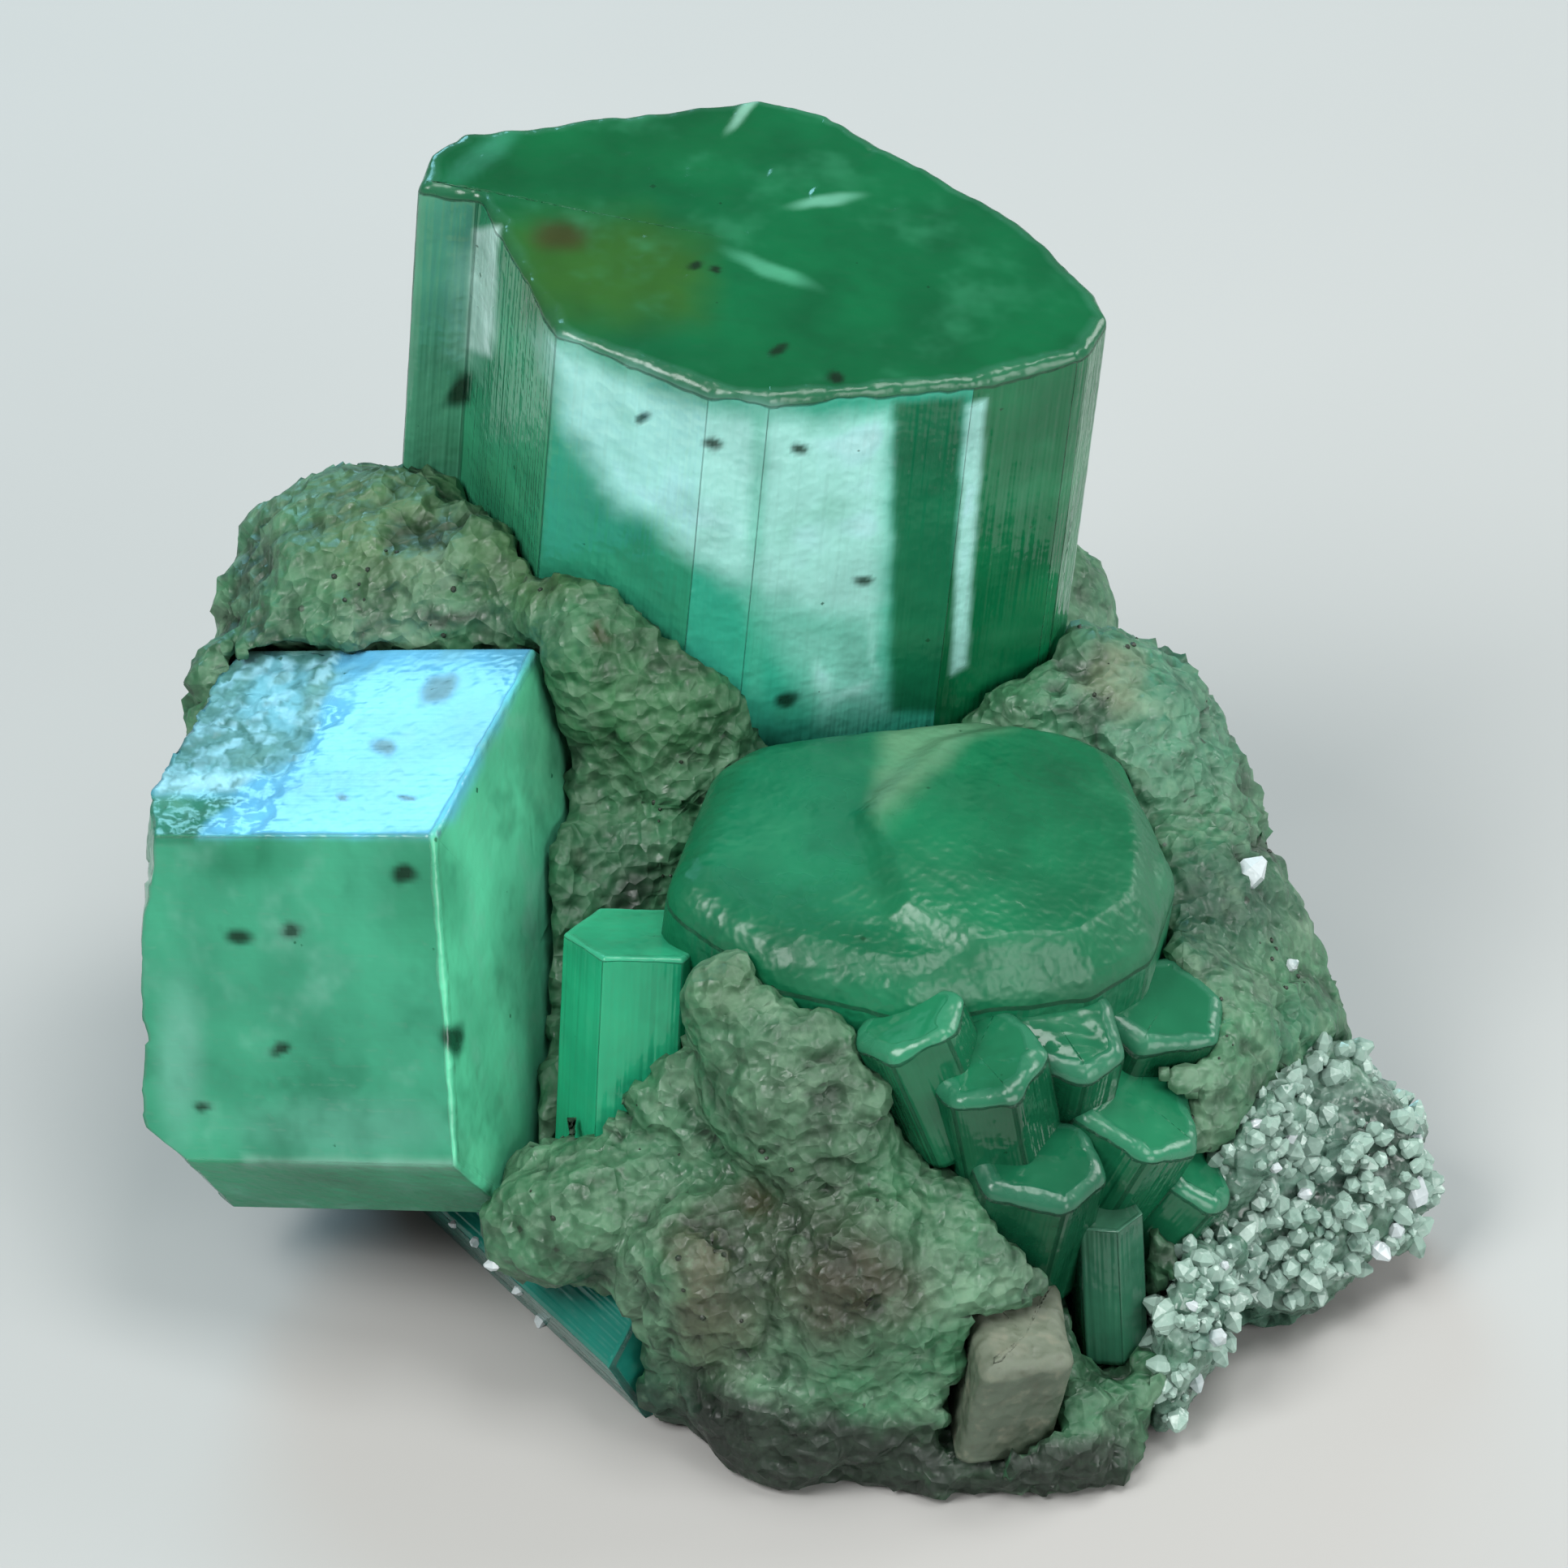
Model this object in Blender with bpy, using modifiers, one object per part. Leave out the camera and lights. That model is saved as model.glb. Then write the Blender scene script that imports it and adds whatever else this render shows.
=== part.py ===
"""Emerald crystals grown together on a loose piece of calcite matrix.

Lengths are in millimetres until a mesh is made; the meshes are in metres, +Z up.
The specimen is laid out as it is seen from the front and 35 degrees above, so a
crystal's seat is given as (right, up, near): millimetres to the right, upwards and
towards the viewer, from the middle of that view. Lumps of the matrix are given
directly in the model's own X, Y and Z.
"""
from math import cos, radians, sin

import bmesh
import bpy
from mathutils import Matrix, Vector

MM = 0.001
GAP = 0.3

# The view in which the specimen is laid out
VIEW_ELEVATION = radians(35.0)
VIEW_DISTANCE = 220.0
VIEW_CENTRE = Vector((0.0, 0.0, 14.0))
SET_RIGHT = -0.24
SET_BACK = -2.4
SPECIMEN_SHIFT = Vector((SET_RIGHT, SET_BACK, 0.0))
VIEW_AXES = Matrix((
    (1.0, 0.0, 0.0),
    (0.0, sin(VIEW_ELEVATION), -cos(VIEW_ELEVATION)),
    (0.0, cos(VIEW_ELEVATION), sin(VIEW_ELEVATION)),
))

# Crystals are cut from a block of this half size by their face planes
BLANK = 30.0
EDGE_WEAR = 0.18
SMALL_EDGE_WEAR = 0.08
BEVEL_FROM_ANGLE = radians(22.0)

# Main crystal: seat is the middle of its top face; side faces as (angle, distance)
MAIN_SEAT = (-0.76, 14.11, 0.0)
MAIN_LEAN = 6.0
MAIN_NOD = 43.0
MAIN_LENGTH = 12.9
MAIN_SIDES = (
    (105.4, 5.86), (74.7, 5.93), (52.0, 5.62), (34.7, 6.70), (14.8, 8.34), (-22.5, 9.35),
    (-43.0, 8.70), (-64.0, 7.05), (-78.0, 6.14), (-97.0, 6.09), (-117.0, 5.86), (-158.4, 6.21),
    (164.9, 8.20),
)
SHOULDER_SIDES = ((105.4, 5.84), (141.5, 8.53), (164.9, 9.0), (-98.0, -0.28), (14.8, 0.0))

# Left crystal: a lying prism, seen on its end face; seat is on its axis at that end
LEFT_SEAT = (-6.45, -4.27, -1.69)
LEFT_LEAN = 90.0
LEFT_NOD = 23.5
LEFT_LENGTH = 8.85
LEFT_SIDES = (
    (128.7, 6.22), (68.7, 7.3), (38.7, 6.9), (8.7, 5.6), (-21.3, 4.2), (-51.3, 4.6),
    (-111.3, 6.95), (-171.3, 5.67),
)
# Broken far end: plane directions in the crystal's own axes, with distances
LEFT_BREAKS = (
    (-0.62, 0.70, -0.35, 9.35), (-0.55, 0.10, -0.83, 10.35), (-0.35, -0.75, -0.56, 10.25),
)

# Right crystal: stands parallel to the main one, lower and nearer
RIGHT_SEAT = (3.9, -1.67, 1.0)
RIGHT_LEAN = 8.0
RIGHT_NOD = 40.0
RIGHT_LENGTH = 7.4
RIGHT_SIDES = (
    (106.0, 5.3), (76.0, 6.1), (46.0, 7.0), (16.0, 6.35), (-14.0, 6.25), (-44.0, 6.0),
    (-74.0, 5.3), (-104.0, 5.75), (-134.0, 6.4), (166.0, 6.3), (136.0, 6.2),
)
TERRACE_STEP = 0.45
TERRACE_SIDES = (
    (150.0, 1.9), (120.0, 3.3), (92.0, 4.9), (62.0, 6.1), (30.0, 6.1), (0.0, 5.6),
    (-40.0, 5.4), (-80.0, 4.6), (-120.0, 3.4), (-165.0, 1.9),
)

# Smaller crystals: seat, lean, nod, width across flats, length, turn about the axis
HEX_STEP = 60.0
LOWER_LEFT = ((-8.5, -8.0, -8.9), -50.5, -42.0, 5.8, 12.4, 33.0)
CENTRE = ((-3.7, -3.9, 1.4), 3.0, 22.0, 3.5, 7.0, 34.0)
SMALL_PRISM = ((8.35, -11.1, 2.3), -4.0, 34.0, 1.75, 4.4, 18.0)
CLUSTER = (
    ((6.9, -9.9, 4.1), 12.0, 48.0, 2.8, 4.6, 20.0),
    ((9.3, -8.2, 2.1), 30.0, 38.0, 3.0, 5.2, 5.0),
    ((5.0, -7.0, 4.8), -12.0, 44.0, 2.6, 4.4, 31.0),
    ((7.1, -6.2, 3.6), 10.0, 52.0, 2.7, 4.4, 12.0),
    ((3.2, -6.2, 5.2), -24.0, 36.0, 2.2, 4.0, 44.0),
    ((10.8, -10.0, 0.8), 40.0, 30.0, 2.2, 4.6, 26.0),
    ((9.9, -5.8, 1.2), 22.0, 44.0, 2.6, 4.6, 50.0),
)

# Pale calcite block low at the front, a cleavage piece
BLOCK_SEAT = (6.3, -14.4, 4.0)
BLOCK_LEAN = 14.0
BLOCK_NOD = 40.0
BLOCK_SIDES = ((8.0, 1.3), (-70.0, 1.1), (-172.0, 1.3), (110.0, 2.0))
BLOCK_LENGTH = 3.4

# Matrix: lumps as centre x, y, z and radii x, y, z
LUMPS = (
    (0.8, 2.8, 3.2, 12.6, 10.6, 6.8),
    (3.4, -5.0, 3.0, 7.4, 6.6, 6.4),
    (-1.4, -6.4, 11.6, 1.4, 1.4, 1.7),
    (0.7, -7.2, 9.3, 2.7, 2.5, 2.8),
    (-5.2, -7.1, 5.2, 2.5, 2.0, 1.9),
    (-2.2, -9.2, 4.8, 2.0, 2.0, 2.5),
    (1.8, -9.5, 5.0, 2.7, 2.6, 2.9),
    (4.6, -9.0, 4.8, 2.4, 2.5, 3.0),
    (0.9, -9.8, 1.6, 3.4, 2.8, 2.9),
    (-2.6, -7.5, 1.6, 2.5, 2.6, 2.4),
    (5.2, -8.9, 0.9, 5.4, 3.9, 3.0),
    (7.4, -6.6, 2.4, 4.6, 4.4, 4.0),
    (4.6, -4.6, 8.4, 4.4, 3.2, 3.6),
    (-3.2, -4.4, 6.4, 2.8, 3.2, 3.6),
    (9.2, -2.6, 6.4, 4.4, 4.2, 4.4),
    (10.4, 2.6, 7.2, 3.2, 4.4, 4.2),
    (8.0, 6.0, 11.0, 3.6, 3.8, 3.4),
    (10.0, 5.4, 9.0, 3.0, 3.8, 3.6),
    (11.3, 3.0, 6.4, 2.9, 3.6, 3.8),
    (12.6, 1.0, 4.6, 2.9, 3.2, 3.4),
    (5.0, 2.7, 13.3, 2.9, 1.2, 1.4),
    (12.2, -2.9, 2.2, 3.4, 2.9, 3.2),
    (14.5, -1.4, 2.5, 2.6, 2.9, 2.5),
    (-8.0, 3.6, 6.5, 5.6, 6.0, 6.8),
    (-10.6, 8.6, 13.0, 4.7, 4.6, 4.6),
    (-7.2, 7.4, 14.2, 4.2, 3.4, 3.6),
    (-12.2, 6.2, 11.3, 3.9, 3.8, 4.0),
    (-4.8, 4.6, 14.4, 2.8, 2.4, 3.6),
    (-3.0, 3.9, 13.3, 2.4, 2.1, 3.7),
    (-5.2, 5.2, 10.6, 3.2, 3.2, 4.6),
    (-2.0, 3.2, 9.8, 3.2, 2.6, 3.4),
    (0.4, 13.2, 6.4, 8.2, 4.4, 6.0),
    (-1.6, 14.4, 9.6, 6.0, 3.4, 5.4),
    (4.9, 13.0, 9.2, 4.2, 3.6, 5.2),
    (-7.6, 12.4, 9.6, 4.4, 3.8, 5.0),
    (-9.0, 9.6, 5.6, 4.8, 4.6, 5.6),
    (-4.2, 12.8, 4.2, 5.2, 4.0, 4.4),
)
# Pits in the rock, given the same way
PITS = (
    (8.6, -9.9, 4.2, 1.9, 2.2, 2.4),
    (-3.2, -1.4, 10.2, 1.3, 2.2, 2.6),
)
LUMP_FACETS = 2
MATRIX_VOXEL = 0.62
MATRIX_SMOOTHING = 4
ROUGH_SIZE = 3.4
ROUGH_DEPTH = 0.85
FINE_SIZE = 1.3
FINE_DEPTH = 0.35
MATRIX_KEEP = 0.34

# Druse: the part of the rock inside this ball, with small bright crystals on it
DRUSE_BALL = (20.5, -8.0, 0.5)
DRUSE_RADIUS = 11.0
BEADS = (
    (16.3, -10.7, -5.4, 0.62), (16.45, -9.1, -5.6, 0.36), (15.95, -11.7, -4.6, 0.34),
    (15.5, -12.2, -4.2, 0.32), (15.25, -13.45, -3.6, 0.42), (14.6, -9.8, -2.6, 0.5),
    (13.5, -9.6, -1.2, 0.55), (12.4, -9.7, -0.3, 0.5), (11.9, -10.6, 0.2, 0.46),
    (13.1, -8.6, -1.2, 0.42), (12.9, -11.2, -0.9, 0.44), (14.4, -11.2, -2.4, 0.42),
    (11.6, -12.3, -0.4, 0.42), (12.6, -12.9, -1.4, 0.4), (11.2, -13.8, -0.6, 0.42),
    (13.6, -12.4, -2.3, 0.38), (15.0, -8.8, -3.8, 0.42), (12.2, -14.6, -2.0, 0.36),
)

EMERALD = (0.016, 0.19, 0.085, 1.0)
PALE_EMERALD = (0.07, 0.3, 0.19, 1.0)
TEAL_EMERALD = (0.008, 0.075, 0.05, 1.0)
CALCITE = (0.15, 0.3, 0.2, 1.0)
PINK_CALCITE = (0.28, 0.27, 0.2, 1.0)
DRUSE_GREY = (0.24, 0.36, 0.29, 1.0)


def clear_scene():
    """Remove what the opened scene holds."""
    for item in list(bpy.data.objects):
        bpy.data.objects.remove(item)


def new_collection(name):
    """A collection in the scene, made once."""
    group = bpy.data.collections.new(name)
    bpy.context.scene.collection.children.link(group)
    return group


def make_material(name, colour, roughness):
    """A Principled material with the colour and roughness of one mineral."""
    finish = bpy.data.materials.new(name)
    finish.use_nodes = True
    shader = finish.node_tree.nodes["Principled BSDF"]
    shader.inputs["Base Color"].default_value = colour
    shader.inputs["Roughness"].default_value = roughness
    shader.inputs["Metallic"].default_value = 0.0
    finish.diffuse_color = colour
    return finish


def seen(right, up, near):
    """Model point, in mm, that shows at (right, up) and lies `near` towards the viewer."""
    spread = (VIEW_DISTANCE - near) / VIEW_DISTANCE
    in_view = Vector((right * spread, up * spread, near))
    return VIEW_AXES @ in_view + VIEW_CENTRE + SPECIMEN_SHIFT


def crystal_axes(lean, nod):
    """Rotation of a crystal whose axis leans right in the view and nods to the viewer."""
    lean = radians(lean)
    nod = radians(nod)
    axis = Vector((sin(lean) * cos(nod), cos(lean) * cos(nod), sin(nod)))
    across = (Vector((1.0, 0.0, 0.0)) - axis * axis.x).normalized()
    in_view = Matrix((across, axis.cross(across), axis)).transposed()
    return VIEW_AXES @ in_view


def cut_by_plane(solid, normal, distance):
    """Take away what lies beyond a plane and close the cut."""
    everything = solid.verts[:] + solid.edges[:] + solid.faces[:]
    normal = Vector(normal).normalized()
    cut = bmesh.ops.bisect_plane(
        solid, geom=everything, plane_co=normal * distance * MM, plane_no=normal, clear_outer=True
    )
    rim = [edge for edge in cut["geom_cut"] if isinstance(edge, bmesh.types.BMEdge)]
    bmesh.ops.holes_fill(solid, edges=rim, sides=0)


def prism_mesh(name, sides, top, length, grow=0.0, breaks=()):
    """Convex crystal from its face distances, `grow` larger all round."""
    solid = bmesh.new()
    bmesh.ops.create_cube(solid, size=2.0 * BLANK * MM)
    for angle, distance in sides:
        turn = radians(angle)
        cut_by_plane(solid, (cos(turn), sin(turn), 0.0), distance + grow)
    cut_by_plane(solid, (0.0, 0.0, 1.0), top + grow)
    cut_by_plane(solid, (0.0, 0.0, -1.0), length - top + grow)
    for x, y, z, distance in breaks:
        cut_by_plane(solid, (x, y, z), distance + grow)
    bmesh.ops.recalc_face_normals(solid, faces=solid.faces[:])
    mesh = bpy.data.meshes.new(name)
    solid.to_mesh(mesh)
    solid.free()
    return mesh


def add_object(name, mesh, group, seat=None, lean=0.0, nod=0.0):
    """An object in a collection, placed by its seat in the view and its crystal axis."""
    item = bpy.data.objects.new(name, mesh)
    group.objects.link(item)
    if seat is not None:
        place = Matrix.Translation(seen(*seat) * MM)
        item.matrix_world = place @ crystal_axes(lean, nod).to_4x4()
    return item


def as_cutter(item):
    """Mark an object as a cutter."""
    item.hide_render = True
    item.display_type = "WIRE"
    return item


def boolean(item, operation, other):
    """Join to, cut by or keep what is shared with another solid."""
    step = item.modifiers.new(operation.title(), "BOOLEAN")
    step.operation = operation
    step.solver = "EXACT"
    step.object = other


def wear_edges(item, width):
    """Break the crystal's edges, as handling does."""
    step = item.modifiers.new("Worn edges", "BEVEL")
    step.width = width * MM
    step.segments = 1
    step.limit_method = "ANGLE"
    step.angle_limit = BEVEL_FROM_ANGLE


def hexagon(width, turn):
    """Side planes of a regular six-sided crystal."""
    return tuple((turn + HEX_STEP * side, width / 2.0) for side in range(6))


def main_crystal(group, cutters, finish, grow=0.0):
    """Large upright crystal: a column with a set-back shoulder on its left."""
    home = cutters if grow else group
    name = "main_crystal_socket" if grow else "main_crystal"
    column = prism_mesh(name, MAIN_SIDES, 0.0, MAIN_LENGTH, grow)
    crystal = add_object(name, column, home, MAIN_SEAT, MAIN_LEAN, MAIN_NOD)
    shoulder = prism_mesh(name + "_shoulder", SHOULDER_SIDES, 0.0, MAIN_LENGTH, grow)
    part = add_object(name + "_shoulder", shoulder, cutters, MAIN_SEAT, MAIN_LEAN, MAIN_NOD)
    boolean(crystal, "UNION", as_cutter(part))
    if grow:
        return as_cutter(crystal)
    wear_edges(crystal, EDGE_WEAR)
    crystal.data.materials.append(finish)
    return crystal


def left_crystal(group, cutters, finish, grow=0.0):
    """Lying crystal on the left, its end face towards the middle of the specimen."""
    home = cutters if grow else group
    name = "left_crystal_socket" if grow else "left_crystal"
    mesh = prism_mesh(name, LEFT_SIDES, 0.0, LEFT_LENGTH, grow, LEFT_BREAKS)
    crystal = add_object(name, mesh, home, LEFT_SEAT, LEFT_LEAN, LEFT_NOD)
    if grow:
        return as_cutter(crystal)
    wear_edges(crystal, EDGE_WEAR)
    crystal.data.materials.append(finish)
    return crystal


def right_crystal(group, cutters, finish, grow=0.0):
    """Wide low crystal whose top face carries one rounded growth terrace."""
    home = cutters if grow else group
    name = "right_crystal_socket" if grow else "right_crystal"
    mesh = prism_mesh(name, RIGHT_SIDES, 0.0, RIGHT_LENGTH, grow)
    crystal = add_object(name, mesh, home, RIGHT_SEAT, RIGHT_LEAN, RIGHT_NOD)
    plate = prism_mesh(name + "_terrace", TERRACE_SIDES, TERRACE_STEP, RIGHT_LENGTH, grow)
    part = add_object(name + "_terrace", plate, cutters, RIGHT_SEAT, RIGHT_LEAN, RIGHT_NOD)
    boolean(crystal, "UNION", as_cutter(part))
    if grow:
        return as_cutter(crystal)
    wear_edges(crystal, EDGE_WEAR)
    crystal.data.materials.append(finish)
    return crystal


def small_crystal(name, spec, group, cutters, finish, grow=0.0):
    """One small six-sided crystal."""
    seat, lean, nod, width, length, turn = spec
    full_name = name + "_socket" if grow else name
    mesh = prism_mesh(full_name, hexagon(width, turn), 0.0, length, grow)
    crystal = add_object(full_name, mesh, cutters if grow else group, seat, lean, nod)
    if grow:
        return as_cutter(crystal)
    wear_edges(crystal, SMALL_EDGE_WEAR)
    crystal.data.materials.append(finish)
    return crystal


def crystal_cluster(group, cutters, finish, grow=0.0):
    """Small crystals grown through one another, one solid."""
    name = "emerald_cluster_socket" if grow else "emerald_cluster"
    first = None
    for number, (seat, lean, nod, width, length, turn) in enumerate(CLUSTER):
        piece_name = name if number == 0 else f"{name}_{number}"
        mesh = prism_mesh(piece_name, hexagon(width, turn), 0.0, length, grow)
        home = group if number == 0 and not grow else cutters
        piece = add_object(piece_name, mesh, home, seat, lean, nod)
        if first is None:
            first = piece
        else:
            boolean(first, "UNION", as_cutter(piece))
    if grow:
        return as_cutter(first)
    first.data.materials.append(finish)
    return first


def calcite_block(group, cutters, finish, grow=0.0):
    """Pale cleavage block at the foot of the front."""
    name = "calcite_block_socket" if grow else "calcite_block"
    mesh = prism_mesh(name, BLOCK_SIDES, 0.0, BLOCK_LENGTH, grow)
    home = cutters if grow else group
    block = add_object(name, mesh, home, BLOCK_SEAT, BLOCK_LEAN, BLOCK_NOD)
    if grow:
        return as_cutter(block)
    wear_edges(block, EDGE_WEAR)
    block.data.materials.append(finish)
    return block


def add_lump(solid, centre, radii):
    """One rounded lump as a scaled icosphere."""
    place = Matrix.Translation(centre * MM) @ Matrix.Diagonal(Vector(radii) * MM).to_4x4()
    bmesh.ops.create_icosphere(solid, subdivisions=LUMP_FACETS, radius=1.0, matrix=place)


def cloud_texture(name, size):
    """Soft noise with bumps of about the given size."""
    texture = bpy.data.textures.new(name, "CLOUDS")
    texture.noise_scale = size * MM
    texture.noise_depth = 1
    return texture


def roughen(item, texture, depth):
    """Push the surface in and out by a noise."""
    step = item.modifiers.new(texture.name, "DISPLACE")
    step.texture = texture
    step.texture_coords = "GLOBAL"
    step.strength = depth * MM
    step.mid_level = 0.5


def floor_block(cutters):
    """What lies below the resting face."""
    solid = bmesh.new()
    size = 2.0 * BLANK * MM
    below = Matrix.Translation((0.0, 0.0, -BLANK * MM))
    bmesh.ops.create_cube(solid, size=size, matrix=below)
    mesh = bpy.data.meshes.new("floor_block")
    solid.to_mesh(mesh)
    solid.free()
    return as_cutter(add_object("floor_block", mesh, cutters))


def rock_body(name, group):
    """All lumps melted together into one rough rock."""
    solid = bmesh.new()
    for x, y, z, *radii in LUMPS:
        add_lump(solid, Vector((x, y, z)) + SPECIMEN_SHIFT, radii)
    mesh = bpy.data.meshes.new(name)
    solid.to_mesh(mesh)
    solid.free()
    rock = add_object(name, mesh, group)
    melt = rock.modifiers.new("Melt together", "REMESH")
    melt.mode = "VOXEL"
    melt.voxel_size = MATRIX_VOXEL * MM
    ease = rock.modifiers.new("Ease", "SMOOTH")
    ease.iterations = MATRIX_SMOOTHING
    roughen(rock, cloud_texture("Rough", ROUGH_SIZE), ROUGH_DEPTH)
    roughen(rock, cloud_texture("Fine", FINE_SIZE), FINE_DEPTH)
    thin = rock.modifiers.new("Fewer faces", "DECIMATE")
    thin.ratio = MATRIX_KEEP
    thin.use_collapse_triangulate = True
    return rock


def pit_cutter(cutters):
    """The pits as one cutter of separate lumps."""
    solid = bmesh.new()
    for x, y, z, *radii in PITS:
        add_lump(solid, Vector((x, y, z)) + SPECIMEN_SHIFT, radii)
    mesh = bpy.data.meshes.new("pits")
    solid.to_mesh(mesh)
    solid.free()
    return as_cutter(add_object("pits", mesh, cutters))


def ball(name, radius, cutters):
    """Curved surface at which the druse parts from the calcite."""
    solid = bmesh.new()
    place = Matrix.Translation((Vector(DRUSE_BALL) + SPECIMEN_SHIFT) * MM)
    bmesh.ops.create_icosphere(solid, subdivisions=3, radius=radius * MM, matrix=place)
    mesh = bpy.data.meshes.new(name)
    solid.to_mesh(mesh)
    solid.free()
    return as_cutter(add_object(name, mesh, cutters))


def bead(number, cutters):
    """One small bright crystal of the druse, a blunt many-faced grain."""
    right, up, near, radius = BEADS[number]
    name = f"druse_bead_{number}"
    solid = bmesh.new()
    place = Matrix.Translation(seen(right, up, near) * MM)
    bmesh.ops.create_icosphere(solid, subdivisions=1, radius=radius * MM, matrix=place)
    mesh = bpy.data.meshes.new(name)
    solid.to_mesh(mesh)
    solid.free()
    return as_cutter(add_object(name, mesh, cutters))


def shells_of(solid):
    """Separate bodies of a mesh, each a list of its faces."""
    left = set(solid.faces)
    shells = []
    while left:
        edge_of_search = [left.pop()]
        shell = []
        while edge_of_search:
            face = edge_of_search.pop()
            shell.append(face)
            for edge in face.edges:
                for other in edge.link_faces:
                    if other in left:
                        left.remove(other)
                        edge_of_search.append(other)
        shells.append(shell)
    return shells


def keep_main_body(item):
    """Turn the modifiers into a plain mesh and drop crumbs that a cut left loose."""
    bpy.context.view_layer.update()
    evaluated = item.evaluated_get(bpy.context.evaluated_depsgraph_get())
    mesh = bpy.data.meshes.new_from_object(evaluated)
    item.modifiers.clear()
    solid = bmesh.new()
    solid.from_mesh(mesh)
    shells = sorted(shells_of(solid), key=len)
    for shell in shells[:-1]:
        bmesh.ops.delete(solid, geom=shell, context="FACES")
    solid.to_mesh(mesh)
    solid.free()
    item.data = mesh


def main():
    """Build the specimen."""
    clear_scene()
    group = new_collection("emerald_crystal_specimen")
    cutters = new_collection("cutters")
    emerald = make_material("Emerald", EMERALD, 0.12)
    pale_emerald = make_material("Pale emerald", PALE_EMERALD, 0.2)
    teal_emerald = make_material("Teal emerald", TEAL_EMERALD, 0.15)
    calcite = make_material("Green calcite", CALCITE, 0.55)
    pink_calcite = make_material("Pink calcite", PINK_CALCITE, 0.5)
    grey_druse = make_material("Druse", DRUSE_GREY, 0.35)

    makers = (
        lambda grow: main_crystal(group, cutters, emerald, grow),
        lambda grow: left_crystal(group, cutters, pale_emerald, grow),
        lambda grow: right_crystal(group, cutters, emerald, grow),
        lambda grow: small_crystal(
            "lower_left_crystal", LOWER_LEFT, group, cutters, teal_emerald, grow
        ),
        lambda grow: small_crystal("centre_crystal", CENTRE, group, cutters, emerald, grow),
        lambda grow: small_crystal("small_prism", SMALL_PRISM, group, cutters, teal_emerald, grow),
        lambda grow: crystal_cluster(group, cutters, emerald, grow),
        lambda grow: calcite_block(group, cutters, pink_calcite, grow),
    )
    floor = floor_block(cutters)
    sockets = []
    for maker in makers:
        piece = maker(0.0)
        for socket in sockets:
            boolean(piece, "DIFFERENCE", socket)
        boolean(piece, "DIFFERENCE", floor)
        keep_main_body(piece)
        sockets.append(maker(GAP))

    pits = pit_cutter(cutters)
    matrix = rock_body("calcite_matrix", group)
    matrix.data.materials.append(calcite)
    boolean(matrix, "DIFFERENCE", floor)
    boolean(matrix, "DIFFERENCE", pits)
    boolean(matrix, "DIFFERENCE", ball("druse_seat", DRUSE_RADIUS + GAP, cutters))
    druse = rock_body("quartz_druse", group)
    druse.data.materials.append(grey_druse)
    boolean(druse, "DIFFERENCE", floor)
    boolean(druse, "INTERSECT", ball("druse_ball", DRUSE_RADIUS, cutters))
    for number in range(len(BEADS)):
        boolean(druse, "UNION", bead(number, cutters))
    for socket in sockets:
        boolean(matrix, "DIFFERENCE", socket)
        boolean(druse, "DIFFERENCE", socket)
    keep_main_body(matrix)
    keep_main_body(druse)


if __name__ == "__main__":
    main()
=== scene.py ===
"""Emerald crystals on green calcite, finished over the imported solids.

Lengths are in millimetres until a mesh is made. Places on the front are given in the
picture frame, a square of 1932 units, as (across, down). A crystal's own axes are x
across, y up in the view and z along its length, with z = 0 at its top face.
"""
from __future__ import annotations
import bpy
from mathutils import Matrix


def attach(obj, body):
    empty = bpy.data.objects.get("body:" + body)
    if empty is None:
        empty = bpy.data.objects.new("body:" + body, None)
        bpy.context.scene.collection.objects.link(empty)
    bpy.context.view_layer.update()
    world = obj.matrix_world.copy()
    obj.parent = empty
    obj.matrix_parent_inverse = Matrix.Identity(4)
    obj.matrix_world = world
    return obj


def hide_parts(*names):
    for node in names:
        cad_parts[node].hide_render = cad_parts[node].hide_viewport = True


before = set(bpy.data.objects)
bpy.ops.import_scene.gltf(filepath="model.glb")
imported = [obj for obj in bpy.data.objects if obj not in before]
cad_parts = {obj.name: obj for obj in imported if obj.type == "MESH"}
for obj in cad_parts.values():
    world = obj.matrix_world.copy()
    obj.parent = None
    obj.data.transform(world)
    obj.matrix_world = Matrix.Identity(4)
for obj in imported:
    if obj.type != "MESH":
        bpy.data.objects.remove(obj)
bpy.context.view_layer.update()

import logging
import math
from dataclasses import dataclass, field
from enum import Enum
from itertools import product

import bmesh
import bpy
import numpy as np
from mathutils import Matrix, Vector
from mathutils.bvhtree import BVHTree

logging.basicConfig(level=logging.INFO, format="%(message)s")
LOG = logging.getLogger("specimen")

MM = 0.001
FRAME_SIZE = 1932.0
BODY = "root"

Colour = tuple[float, float, float]
Pair = tuple[float, float]
Triple = tuple[float, float, float]
Value = float | tuple | bpy.types.NodeSocket


def linear(red: float, green: float, blue: float) -> Colour:
    """Linear colour of a display colour given as 0 to 255."""
    values = (channel / 255.0 for channel in (red, green, blue))
    return tuple(v / 12.92 if v <= 0.04045 else ((v + 0.055) / 1.055) ** 2.4 for v in values)


def smooth_step(low: float, high: float, values: np.ndarray) -> np.ndarray:
    """Rise smoothly from 0 at low to 1 at high."""
    part = np.clip((values - low) / (high - low), 0.0, 1.0)
    return part * part * (3.0 - 2.0 * part)


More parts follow.
